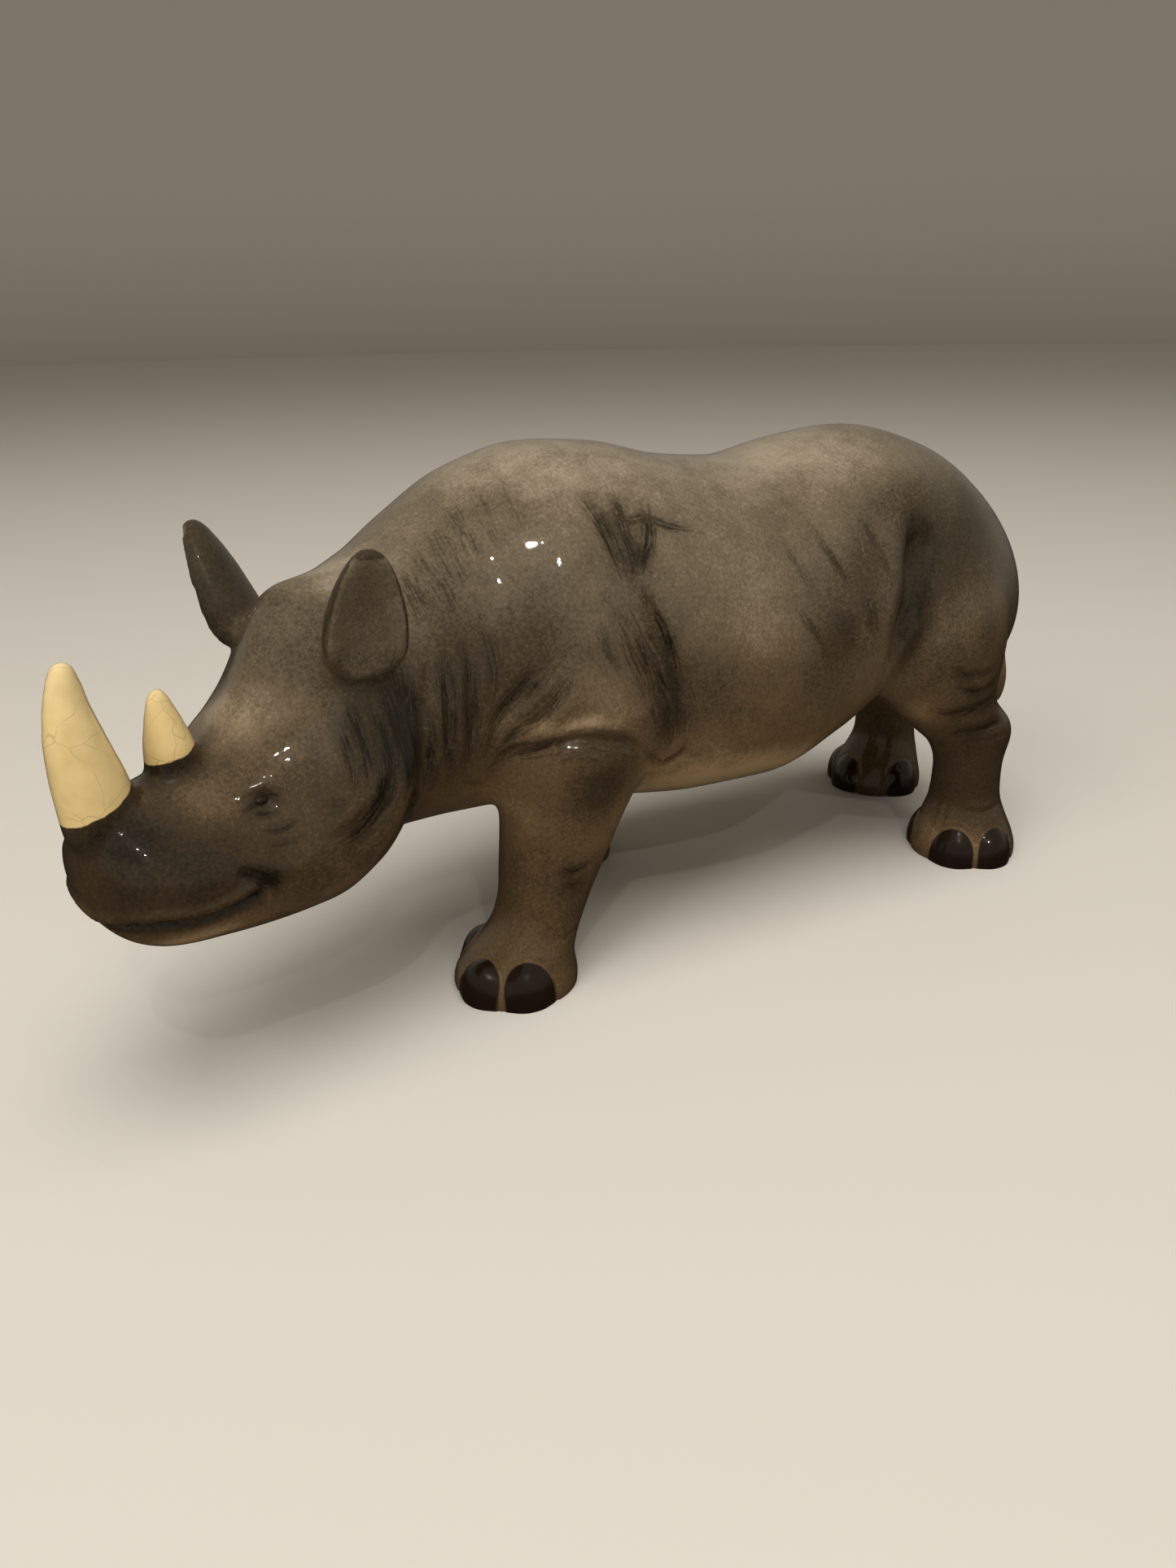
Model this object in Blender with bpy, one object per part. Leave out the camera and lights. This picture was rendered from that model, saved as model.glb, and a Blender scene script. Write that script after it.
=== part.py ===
"""A glazed earthenware rhinoceros, one slip casting that stands on four flat soles.

The figure walks with both left feet ahead of the right ones and turns its head to its left.
Places and sizes are counted in steps, of which 96 make the length from muzzle to rump.
X runs along the body to the front, Y to the animal's left and Z up from the soles.
"""

import math

import bmesh
import bpy
import numpy as np
from mathutils import Matrix, Vector
from mathutils.bvhtree import BVHTree

# Driving size, in metres
LENGTH = 0.243
LENGTH_STEPS = 96.0
STEP = LENGTH / LENGTH_STEPS

# Mesh fineness, in steps and counts
VOXEL = 0.55
RING_SIDES = 48
RING_SPACING = 1.0
TRIANGLES = 9400

# The spine runs straight along X, then turns to the left through the neck
HEAD_TURN = math.radians(24.5)
TURN_START = 8.0
TURN_END = 24.0

# Trunk, neck and head as rows along the spine: distance, top, bottom, half width,
# share of the height where it is widest, fullness above and fullness below
TRUNK = (
    (-45.0, 28.6, 21.0, 3.0, 0.50, 2.0, 2.0),
    (-44.0, 31.8, 18.8, 6.0, 0.50, 2.0, 2.0),
    (-41.4, 36.0, 17.0, 9.3, 0.48, 2.0, 2.1),
    (-37.0, 39.9, 17.8, 11.8, 0.44, 2.1, 2.1),
    (-31.5, 43.0, 19.2, 13.3, 0.42, 2.2, 2.0),
    (-25.0, 44.6, 17.8, 14.1, 0.42, 2.2, 2.0),
    (-18.0, 43.9, 14.2, 14.8, 0.43, 2.2, 2.15),
    (-11.0, 42.7, 12.1, 15.0, 0.43, 2.2, 2.3),
    (-4.0, 43.3, 12.1, 14.8, 0.44, 2.2, 2.3),
    (3.0, 44.9, 12.8, 14.3, 0.45, 2.2, 2.3),
    (9.0, 45.3, 13.6, 13.6, 0.46, 2.1, 2.2),
    (15.0, 43.9, 14.3, 12.2, 0.46, 2.1, 2.2),
    (20.0, 41.4, 14.8, 10.8, 0.47, 2.0, 2.2),
    (25.0, 38.8, 15.6, 9.7, 0.48, 2.0, 2.2),
    (29.5, 37.7, 16.2, 9.2, 0.46, 1.8, 2.2),
    (33.5, 37.5, 14.5, 9.6, 0.40, 1.5, 2.4),
    (36.5, 33.9, 13.8, 9.4, 0.38, 1.45, 2.5),
    (39.0, 30.2, 13.7, 8.7, 0.38, 1.4, 2.4),
    (42.0, 27.6, 13.8, 7.7, 0.40, 1.5, 2.4),
    (45.5, 26.5, 14.2, 6.6, 0.42, 1.8, 2.4),
    (48.6, 25.8, 14.9, 6.0, 0.44, 2.0, 2.4),
    (50.6, 25.1, 16.0, 5.1, 0.46, 2.1, 2.2),
    (51.4, 24.2, 17.3, 4.0, 0.48, 2.0, 2.1),
    (51.9, 23.1, 18.4, 2.6, 0.48, 2.0, 2.0),
    (52.2, 21.9, 19.6, 1.0, 0.48, 2.0, 2.0),
)

# Legs as rows from below the sole up into the trunk: height, x, y, half length, half width
FORE_LEFT = (
    (-1.0, 16.3, 9.9, 5.3, 5.3),
    (0.8, 16.3, 9.9, 5.6, 5.5),
    (2.4, 15.9, 9.9, 4.9, 5.0),
    (4.2, 14.9, 9.9, 4.2, 4.4),
    (5.8, 14.0, 9.8, 4.0, 4.0),
    (7.5, 13.3, 9.7, 4.05, 4.0),
    (10.5, 12.4, 9.6, 4.6, 4.3),
    (14.0, 11.3, 9.4, 5.3, 4.8),
    (18.0, 10.0, 9.0, 6.4, 5.2),
    (23.0, 9.2, 8.9, 7.6, 5.3),
    (28.0, 9.6, 8.6, 7.4, 5.0),
    (34.0, 10.0, 7.0, 6.0, 4.4),
)
FORE_RIGHT = (
    (-1.0, 2.1, -10.5, 5.3, 5.3),
    (0.8, 2.1, -10.5, 5.6, 5.5),
    (2.4, 1.7, -10.4, 4.9, 5.0),
    (4.2, 0.9, -10.3, 4.2, 4.4),
    (5.8, 0.4, -10.2, 4.0, 4.0),
    (7.5, 0.1, -10.0, 4.05, 4.0),
    (10.5, 0.4, -9.8, 4.6, 4.3),
    (14.0, 1.6, -9.4, 5.3, 4.8),
    (18.0, 3.4, -9.0, 6.4, 5.2),
    (23.0, 6.4, -8.9, 7.6, 5.3),
    (28.0, 8.2, -8.6, 7.4, 5.0),
    (34.0, 9.4, -7.0, 6.0, 4.4),
)
HIND_LEFT = (
    (-1.0, -37.3, 9.9, 5.2, 5.2),
    (0.8, -37.3, 9.9, 5.5, 5.4),
    (2.6, -37.3, 9.8, 5.1, 4.9),
    (4.6, -37.2, 9.7, 4.3, 4.1),
    (7.0, -37.1, 9.6, 3.6, 3.5),
    (10.0, -37.0, 9.6, 3.5, 3.4),
    (12.5, -36.7, 9.5, 4.2, 3.6),
    (14.5, -35.4, 9.4, 5.2, 4.1),
    (18.0, -31.9, 9.5, 5.9, 4.6),
    (22.0, -29.7, 9.6, 8.0, 5.0),
    (27.0, -29.2, 9.2, 8.3, 5.2),
    (33.0, -30.0, 8.0, 7.2, 4.8),
    (37.0, -31.5, 6.5, 6.0, 4.0),
)
HIND_RIGHT = (
    (-1.0, -41.4, -9.2, 5.2, 5.2),
    (0.8, -41.4, -9.2, 5.5, 5.4),
    (2.6, -41.5, -9.2, 5.1, 4.9),
    (4.6, -42.0, -9.2, 4.3, 4.1),
    (7.0, -42.3, -9.2, 3.6, 3.5),
    (10.0, -42.1, -9.2, 3.5, 3.4),
    (12.5, -41.4, -9.2, 4.2, 3.6),
    (14.5, -40.2, -9.2, 4.8, 4.0),
    (18.0, -36.4, -9.4, 6.4, 4.6),
    (22.0, -32.6, -9.5, 8.6, 5.1),
    (27.0, -31.2, -9.2, 9.6, 5.3),
    (33.0, -31.3, -8.0, 8.4, 4.9),
    (37.0, -31.5, -6.5, 6.0, 4.0),
)
LEGS = (FORE_LEFT, FORE_RIGHT, HIND_LEFT, HIND_RIGHT)
LEG_FULLNESS = 2.1
ROUND = 2.0

# Toe nails: each foot's heading, to the left of straight ahead, and the turn of its nails from
# there to the outer side, both in degrees; the nails are eggs sunk into the foot
FOOT_HEADINGS = (25.0, -8.0, 33.0, 0.0)
NAIL_TURNS = (-92.0, 0.0, 56.0)
NAIL_OUT = 4.3
NAIL_HEIGHT = 0.6
NAIL_SIZE = (1.65, 2.3, 3.2)

# Horns on the head's middle plane: distance along the spine, height, radius along, radius across
FRONT_HORN = (
    (49.9, 23.6, 2.6, 2.5),
    (50.0, 25.6, 2.6, 2.5),
    (50.3, 28.0, 2.4, 2.3),
    (50.6, 30.5, 2.0, 1.9),
    (50.7, 32.8, 1.5, 1.45),
    (50.55, 34.6, 1.1, 1.05),
    (50.45, 35.5, 0.8, 0.8),
    (50.4, 35.95, 0.4, 0.4),
)
REAR_HORN = (
    (44.3, 26.4, 1.9, 1.9),
    (44.3, 28.2, 1.8, 1.8),
    (44.4, 30.0, 1.35, 1.35),
    (44.5, 31.4, 0.95, 0.95),
    (44.5, 32.2, 0.65, 0.65),
    (44.5, 32.6, 0.3, 0.3),
)

# Tail, pressed against the rump and swung a little to the left: x, y, height, radius
TAIL = (
    (-42.4, 0.0, 35.5, 1.9),
    (-44.3, 0.5, 32.0, 1.6),
    (-45.6, 1.3, 28.0, 1.25),
    (-46.0, 2.4, 23.5, 1.0),
    (-45.9, 3.5, 19.6, 0.95),
    (-45.7, 4.1, 17.0, 1.15),
    (-45.5, 4.5, 14.9, 0.9),
    (-45.4, 4.7, 13.8, 0.4),
)

# Ears: base and tip on the head as spine distance, distance from the middle plane, height
EAR_BASE = (33.1, 8.3, 32.4)
EAR_TIP = (33.7, 10.6, 41.1)
EAR_FACING = math.radians(60.0)
EAR_LEAN = 0.8
EAR_FULLNESS = 2.4
EAR_SPACING = 0.03
DISH_SHARE = 0.8
DISH_POWER = 2.0
EAR_RIM = 0.55
# rows from base to tip: share of the way, half width, depth behind, depth of the dish
EAR_ROWS = (
    (-0.12, 1.5, 2.4, 0.0),
    (-0.05, 2.4, 2.6, 0.4),
    (0.04, 3.0, 2.6, 1.4),
    (0.18, 3.15, 2.4, 2.1),
    (0.38, 3.0, 2.1, 2.1),
    (0.60, 2.55, 1.8, 1.6),
    (0.80, 1.9, 1.4, 0.9),
    (0.92, 1.3, 1.1, 0.3),
    (0.99, 0.8, 0.8, 0.0),
)

# Blending: rounds of smoothing all over, and more where the legs run into the trunk
SOFTEN_ROUNDS = 4
BLEND_ROUNDS = 14
BLEND_REACH = 7.5
BLEND_HEIGHT = 19.5

# Swellings and hollows on both sides: distance along the spine, height, reach, rise
SWELLINGS = (
    (9.5, 31.0, 8.0, 0.55),
    (12.0, 22.0, 5.0, 0.7),
    (-23.5, 39.8, 3.2, 0.9),
    (-33.0, 27.0, 7.5, 1.0),
    (-38.2, 14.6, 2.6, 0.5),
    (34.4, 21.5, 5.5, 0.7),
    (39.6, 26.6, 2.6, 0.7),
    (46.0, 20.4, 4.2, 0.3),
    (41.6, 24.5, 1.1, 0.25),
    (31.4, 28.4, 2.8, -0.5),
    (36.5, 31.0, 2.6, -0.3),
)

# Folds on both flanks as points (distance along the spine, height), then half width, depth,
# height of the lip beside the groove and the share of the depth that the right side has
FOLDS = (
    (((6.8, 40.4), (7.6, 36.6), (6.6, 32.4), (5.0, 28.0), (3.6, 24.0), (3.0, 20.0)),
     2.4, 0.7, 0.2, 1.0),
    (((-23.8, 39.4), (-24.6, 35.6), (-24.4, 31.4), (-23.0, 27.0), (-21.0, 23.0)),
     2.6, 1.3, 0.4, 1.0),
    (((6.5, 40.8), (6.6, 37.0), (5.5, 32.9), (4.0, 28.6), (2.7, 24.5), (2.2, 21.0), (3.4, 18.0)),
     0.8, 0.5, 0.2, 1.0),
    (((8.2, 35.5), (7.0, 31.0), (5.4, 27.6), (4.2, 23.8), (3.6, 21.4)), 0.6, 0.35, 0.15, 1.0),
    (((21.6, 21.8), (19.0, 23.0), (16.0, 23.7), (12.4, 24.0), (8.0, 23.1), (5.0, 20.8), (3.6, 18.4)),
     1.3, 0.55, 0.3, 1.0),
    (((-22.6, 39.6), (-23.2, 36.5), (-23.1, 33.0), (-22.5, 29.8), (-21.2, 26.0), (-19.6, 22.6)),
     0.9, 0.8, 0.5, 1.0),
    (((-24.8, 37.6), (-25.2, 34.0), (-24.8, 30.4)), 0.8, 0.4, 0.0, 1.0),
    (((27.8, 33.0), (28.3, 29.4), (28.8, 26.4), (29.2, 23.0), (29.2, 19.6)), 0.75, 0.6, 0.2, 0.5),
    (((25.8, 33.4), (26.4, 29.0), (26.8, 25.2), (26.7, 20.6)), 0.6, 0.45, 0.2, 0.5),
    (((23.9, 33.0), (24.4, 29.1), (24.8, 25.3), (25.1, 20.8)), 0.6, 0.35, 0.15, 0.5),
    (((15.2, 31.0), (19.4, 28.0), (22.4, 25.0), (23.6, 21.6)), 0.6, 0.25, 0.12, 0.6),
    (((13.4, 28.6), (17.4, 26.4), (20.8, 23.6), (22.8, 20.6)), 0.55, 0.22, 0.12, 0.6),
    (((32.9, 30.6), (32.5, 28.0), (32.8, 25.4), (34.2, 22.8), (36.6, 21.2), (39.2, 20.9)),
     0.9, 0.4, 0.2, 1.0),
    (((51.0, 18.5), (49.5, 18.4), (47.7, 17.9), (46.0, 17.9), (44.6, 18.2), (43.2, 19.1)),
     0.55, 0.8, 0.35, 1.0),
    (((45.2, 20.8), (44.0, 20.2), (43.0, 19.3), (42.2, 18.3)), 0.5, 0.3, 0.1, 1.0),
    (((42.8, 24.3), (42.0, 24.8), (41.2, 24.9), (40.4, 24.3)), 0.35, 0.25, 0.12, 1.0),
    (((-26.4, 19.4), (-29.4, 18.2), (-32.8, 18.6), (-36.2, 19.2)), 0.6, 0.25, 0.12, 1.0),
    (((-30.0, 15.9), (-33.4, 15.6), (-37.6, 16.0)), 0.6, 0.22, 0.1, 1.0),
)

# A fold fades in over this share of its length, and its lip is placed and sized by its width
FOLD_TAPER = 0.38
LIP_PLACE = 2.0
LIP_WIDTH = 1.3


def smooth_values(places, values, wanted):
    """Read a smooth curve without overshoot through values at rising places."""
    places = np.asarray(places, float)
    values = np.asarray(values, float)
    gaps = np.diff(places)
    slopes = np.diff(values) / gaps
    tangents = np.zeros_like(values)
    tangents[0] = slopes[0]
    tangents[-1] = slopes[-1]
    for i in range(1, len(values) - 1):
        if slopes[i - 1] * slopes[i] > 0:
            w1 = 2 * gaps[i] + gaps[i - 1]
            w2 = gaps[i] + 2 * gaps[i - 1]
            tangents[i] = (w1 + w2) / (w1 / slopes[i - 1] + w2 / slopes[i])
    cell = np.clip(np.searchsorted(places, wanted) - 1, 0, len(gaps) - 1)
    t = (wanted - places[cell]) / gaps[cell]
    a = values[cell]
    b = values[cell + 1]
    ta = tangents[cell] * gaps[cell]
    tb = tangents[cell + 1] * gaps[cell]
    return (a * (1 + 2 * t) * (1 - t) ** 2 + ta * t * (1 - t) ** 2
            + b * t * t * (3 - 2 * t) + tb * t * t * (t - 1))


def spread_rows(rows, spacing):
    """Fill in rows so that they stand about one spacing apart."""
    rows = np.array(rows)
    runs = np.linalg.norm(np.diff(rows[:, :3], axis=0), axis=1)
    along = np.concatenate(([0.0], np.cumsum(runs)))
    count = max(int(round(along[-1] / spacing)), 2)
    wanted = np.linspace(0.0, along[-1], count + 1)
    return np.stack([smooth_values(along, column, wanted) for column in rows.T], axis=1)


def spine_table():
    """The spine's path in plan, as distance, x, y and heading."""
    distance = np.linspace(-60.0, 60.0, 2401)
    turned = np.clip((distance - TURN_START) / (TURN_END - TURN_START), 0.0, 1.0)
    heading = HEAD_TURN * turned * turned * (3 - 2 * turned)
    pace = distance[1] - distance[0]
    x = np.cumsum(np.cos(heading)) * pace
    y = np.cumsum(np.sin(heading)) * pace
    return distance, x - np.interp(0.0, distance, x), y, heading


SPINE = spine_table()


def on_spine(distance, side, height):
    """A point given by its distance along the spine, its distance to the left and its height."""
    x, y, heading = (np.interp(distance, SPINE[0], column) for column in SPINE[1:])
    return np.array((x - side * np.sin(heading), y + side * np.cos(heading), height))


def oval(above, below=None):
    """A unit superellipse with its own fullness above and below the widest line."""
    angles = np.arange(RING_SIDES) * 2 * math.pi / RING_SIDES
    c = np.cos(angles)
    s = np.sin(angles)
    power = np.where(s > 0, 2.0 / above, 2.0 / (below or above))
    return np.sign(c) * np.abs(c) ** power, np.sign(s) * np.abs(s) ** power


def trunk_rings():
    """Upright rings across the spine from the rump to the muzzle."""
    rings = []
    for distance, top, bottom, width, widest, above, below in spread_rows(TRUNK, RING_SPACING):
        across, up = oval(above, below)
        middle = bottom + (top - bottom) * widest
        height = middle + np.where(up > 0, (top - middle) * up, (middle - bottom) * up)
        rings.append([on_spine(distance, a * width, h) for a, h in zip(across, height)])
    return rings


def leg_rings(rows):
    """Level rings from below the sole up into the trunk."""
    across, along = oval(LEG_FULLNESS)
    rings = []
    for height, x, y, length, width in spread_rows(rows, RING_SPACING):
        rings.append([(x + b * length, y + a * width, height) for a, b in zip(across, along)])
    return rings


def horn_rings(rows):
    """Level rings of a horn on the head's middle plane."""
    across, along = oval(ROUND)
    rings = []
    for distance, height, length, width in rows:
        rings.append([on_spine(distance + b * length, a * width, height)
                      for a, b in zip(across, along)])
    return rings


def tail_rings():
    """Level rings of the tail from its root down to its tuft."""
    across, along = oval(ROUND)
    rings = []
    for x, y, height, radius in spread_rows(TAIL, RING_SPACING):
        rings.append([(x + b * radius, y + a * radius, height) for a, b in zip(across, along)])
    return rings


def ear_rings(side):
    """Rings of one ear, leaning forwards and hollowed on the face that looks ahead and outwards."""
    base = on_spine(EAR_BASE[0], side * EAR_BASE[1], EAR_BASE[2])
    tip = on_spine(EAR_TIP[0], side * EAR_TIP[1], EAR_TIP[2])
    rise = tip - base
    upward = rise / np.linalg.norm(rise)
    facing = HEAD_TURN + side * EAR_FACING
    front = np.array((math.cos(facing), math.sin(facing), 0.0))
    front -= upward * front.dot(upward)
    front /= np.linalg.norm(front)
    wide = np.cross(upward, front)
    across, depth = oval(EAR_FULLNESS)
    rings = []
    for share, half, back, dish in spread_rows(EAR_ROWS, EAR_SPACING):
        hollow = dish * np.clip(1 - np.abs(across / DISH_SHARE) ** DISH_POWER, 0.0, 1.0)
        out = np.where(depth < 0, depth * back, depth * back * EAR_RIM - hollow)
        out -= EAR_LEAN * (1 - share)
        rings.append([base + rise * share + wide * a * half + front * o
                      for a, o in zip(across, out)])
    return rings


def add_skin(bm, rings):
    """Bridge a row of rings into one closed shell."""
    edges_before = None
    for number, ring in enumerate(rings):
        made = bmesh.ops.create_circle(bm, segments=RING_SIDES, radius=1.0)["verts"]
        for vert, place in zip(made, ring):
            vert.co = place
        edges = list({edge for vert in made for edge in vert.link_edges})
        if edges_before is not None:
            bmesh.ops.bridge_loops(bm, edges=edges_before + edges)
        if number in (0, len(rings) - 1):
            bmesh.ops.contextual_create(bm, geom=edges)
        edges_before = edges


def add_ball(bm, centre, radii, turn=0.0):
    """Add an egg-shaped mass, turned about the upright axis."""
    place = Matrix.Translation(Vector(centre)) @ Matrix.Rotation(turn, 4, "Z")
    shape = place @ Matrix.Diagonal((*radii, 1.0))
    bmesh.ops.create_uvsphere(bm, u_segments=32, v_segments=20, radius=1.0, matrix=shape)


def nail_places():
    """Centre and heading of each toe nail."""
    places = []
    for leg, heading in zip(LEGS, FOOT_HEADINGS):
        side = math.copysign(1.0, leg[1][2])
        for outwards in NAIL_TURNS:
            turn = math.radians(heading + side * outwards)
            x = leg[1][1] + NAIL_OUT * math.cos(turn)
            y = leg[1][2] + NAIL_OUT * math.sin(turn)
            places.append(((x, y, NAIL_HEIGHT), turn))
    return places


def rough_shells():
    """All the forms as overlapping closed shells in one mesh."""
    bm = bmesh.new()
    add_skin(bm, trunk_rings())
    for leg in LEGS:
        add_skin(bm, leg_rings(leg))
    for horn in (FRONT_HORN, REAR_HORN):
        add_skin(bm, horn_rings(horn))
    add_skin(bm, tail_rings())
    for side in (-1, 1):
        add_skin(bm, ear_rings(side))
    for centre, turn in nail_places():
        add_ball(bm, centre, NAIL_SIZE, turn)
    bmesh.ops.recalc_face_normals(bm, faces=bm.faces)
    mesh = bpy.data.meshes.new("rhinoceros")
    bm.to_mesh(mesh)
    bm.free()
    return mesh


def evaluated(obj):
    """The object's mesh with its modifiers applied."""
    graph = bpy.context.evaluated_depsgraph_get()
    return bpy.data.meshes.new_from_object(obj.evaluated_get(graph))


def fuse(obj, voxel):
    """Fuse the shells into one skin of even squares."""
    remesh = obj.modifiers.new("fuse", "REMESH")
    remesh.mode = "VOXEL"
    remesh.voxel_size = voxel
    mesh = evaluated(obj)
    obj.modifiers.remove(remesh)
    obj.data = mesh


def mesh_arrays(mesh):
    """The mesh's points and normals as arrays."""
    points = np.empty(len(mesh.vertices) * 3)
    normals = np.empty(len(mesh.vertices) * 3)
    mesh.vertices.foreach_get("co", points)
    mesh.vertices.foreach_get("normal", normals)
    return points.reshape(-1, 3), normals.reshape(-1, 3)


def move_points(mesh, points):
    """Write the points back to the mesh."""
    mesh.vertices.foreach_set("co", points.ravel())
    mesh.update()


def soften(mesh):
    """Take the steps out of the fused skin and let the legs flow into the trunk."""
    bm = bmesh.new()
    bm.from_mesh(mesh)
    near_legs = set()
    for leg in LEGS:
        rows = np.array(leg)
        x = np.interp(BLEND_HEIGHT, rows[:, 0], rows[:, 1])
        y = np.interp(BLEND_HEIGHT, rows[:, 0], rows[:, 2])
        middle = Vector((x, y, BLEND_HEIGHT))
        near_legs.update(v for v in bm.verts if (v.co - middle).length < BLEND_REACH)
    blend = list(near_legs)
    for verts, rounds in ((blend, BLEND_ROUNDS), (bm.verts, SOFTEN_ROUNDS)):
        for _ in range(rounds):
            bmesh.ops.smooth_vert(bm, verts=verts, factor=0.5,
                                  use_axis_x=True, use_axis_y=True, use_axis_z=True)
    bm.to_mesh(mesh)
    bm.free()


def skin_tree(mesh):
    """The skin as it stands, ready for casting rays at it."""
    points = [vert.co.copy() for vert in mesh.vertices]
    return BVHTree.FromPolygons(points, [face.vertices[:] for face in mesh.polygons])


def on_skin(tree, distance, height, side):
    """The place on the skin seen squarely from one side of the spine."""
    start = Vector(on_spine(distance, side * LENGTH_STEPS, height))
    aim = Vector(on_spine(distance, 0.0, height)) - start
    return tree.ray_cast(start, aim.normalized())[0]


def stroke_path(tree, points, side):
    """A smooth line on the skin through a fold's points."""
    rows = np.array(points, float)
    padded = np.concatenate((rows, np.zeros((len(rows), 1))), axis=1)
    places = [on_skin(tree, distance, height, side)
              for distance, height, _ in spread_rows(padded, RING_SPACING)]
    return np.array([place for place in places if place is not None])


def carve(points, normals, path, width, depth, lip):
    """Sink a groove along a path, with a lip on the side that the path's left looks to."""
    nearest = np.full(len(points), np.inf)
    signed = np.zeros(len(points))
    along = np.zeros(len(points))
    for i in range(len(path) - 1):
        run = path[i + 1] - path[i]
        share = np.clip((points - path[i]) @ run / run.dot(run), 0.0, 1.0)
        away = points - (path[i] + share[:, None] * run)
        gap = np.linalg.norm(away, axis=1)
        closer = gap < nearest
        turned = np.einsum("ij,ij->i", np.cross(normals[closer], run), away[closer])
        nearest[closer] = gap[closer]
        signed[closer] = np.sign(turned) * gap[closer]
        along[closer] = (i + share[closer]) / (len(path) - 1)
    ends = np.clip(along / FOLD_TAPER, 0.0, 1.0) * np.clip((1 - along) / FOLD_TAPER, 0.0, 1.0)
    taper = ends * ends * (3 - 2 * ends)
    groove = -depth * np.exp(-(nearest / width) ** 2)
    ridge = lip * np.exp(-((signed - LIP_PLACE * width) / (LIP_WIDTH * width)) ** 2)
    return normals * (taper * (groove + ridge))[:, None]


def model_skin(mesh):
    """Raise the swellings and carve the folds on both sides."""
    tree = skin_tree(mesh)
    points, normals = mesh_arrays(mesh)
    for distance, height, reach, rise in SWELLINGS:
        for side in (-1, 1):
            centre = np.array(on_skin(tree, distance, height, side))
            gap = np.linalg.norm(points - centre, axis=1)
            points += normals * (rise * np.exp(-(gap / reach) ** 2))[:, None]
    move_points(mesh, points)
    tree = skin_tree(mesh)
    points, normals = mesh_arrays(mesh)
    moves = np.zeros_like(points)
    for line, width, depth, lip, right_share in FOLDS:
        for side, share in ((1, 1.0), (-1, right_share)):
            path = stroke_path(tree, line, side)
            moves += carve(points, normals, path, width, depth * share, lip * share * side)
    move_points(mesh, points + moves)


def thin_out(obj, triangles):
    """Drop faces where the skin is nearly flat."""
    obj.data.calc_loop_triangles()
    thin = obj.modifiers.new("thin", "DECIMATE")
    thin.ratio = triangles / len(obj.data.loop_triangles)
    thin.use_collapse_triangulate = True
    obj.data = evaluated(obj)
    obj.modifiers.remove(thin)


def cut_soles(mesh):
    """Cut the feet off flat at the ground and close them."""
    bm = bmesh.new()
    bm.from_mesh(mesh)
    geometry = bm.verts[:] + bm.edges[:] + bm.faces[:]
    cut = bmesh.ops.bisect_plane(bm, geom=geometry, dist=1e-5, plane_co=(0, 0, 0),
                                 plane_no=(0, 0, 1), clear_inner=True)
    rim = [item for item in cut["geom_cut"] if isinstance(item, bmesh.types.BMEdge)]
    soles = bmesh.ops.holes_fill(bm, edges=rim, sides=0)["faces"]
    bmesh.ops.triangulate(bm, faces=soles)
    bmesh.ops.recalc_face_normals(bm, faces=bm.faces)
    bm.to_mesh(mesh)
    bm.free()


def seat(mesh):
    """Bring the middle of the outline over the origin and turn steps into metres."""
    points, _ = mesh_arrays(mesh)
    middle = (points.min(axis=0) + points.max(axis=0)) / 2
    mesh.transform(Matrix.Scale(STEP, 4) @ Matrix.Translation((-middle[0], -middle[1], 0.0)))


def glaze():
    """Brown-grey underglaze beneath a clear glossy coat."""
    material = bpy.data.materials.new("glazed earthenware")
    material.use_nodes = True
    shader = material.node_tree.nodes["Principled BSDF"]
    shader.inputs["Base Color"].default_value = (0.16, 0.125, 0.10, 1.0)
    shader.inputs["Roughness"].default_value = 0.18
    shader.inputs["Metallic"].default_value = 0.0
    return material


def build_rhino():
    """Model the whole figure as one object."""
    obj = bpy.data.objects.new("rhinoceros", rough_shells())
    bpy.context.scene.collection.objects.link(obj)
    fuse(obj, VOXEL)
    soften(obj.data)
    model_skin(obj.data)
    thin_out(obj, TRIANGLES)
    cut_soles(obj.data)
    seat(obj.data)
    obj.data.materials.clear()
    obj.data.materials.append(glaze())
    obj.data.shade_smooth()


for old in list(bpy.data.objects):
    bpy.data.objects.remove(old)
build_rhino()
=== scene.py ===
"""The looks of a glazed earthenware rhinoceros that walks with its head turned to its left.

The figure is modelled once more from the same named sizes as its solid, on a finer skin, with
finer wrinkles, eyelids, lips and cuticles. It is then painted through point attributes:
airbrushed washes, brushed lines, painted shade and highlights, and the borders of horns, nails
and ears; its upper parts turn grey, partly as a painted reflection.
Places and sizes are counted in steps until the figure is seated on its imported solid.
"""

import math

import bmesh
import bpy
import numpy as np
from mathutils import Matrix, Vector
from mathutils.bvhtree import BVHTree


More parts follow.
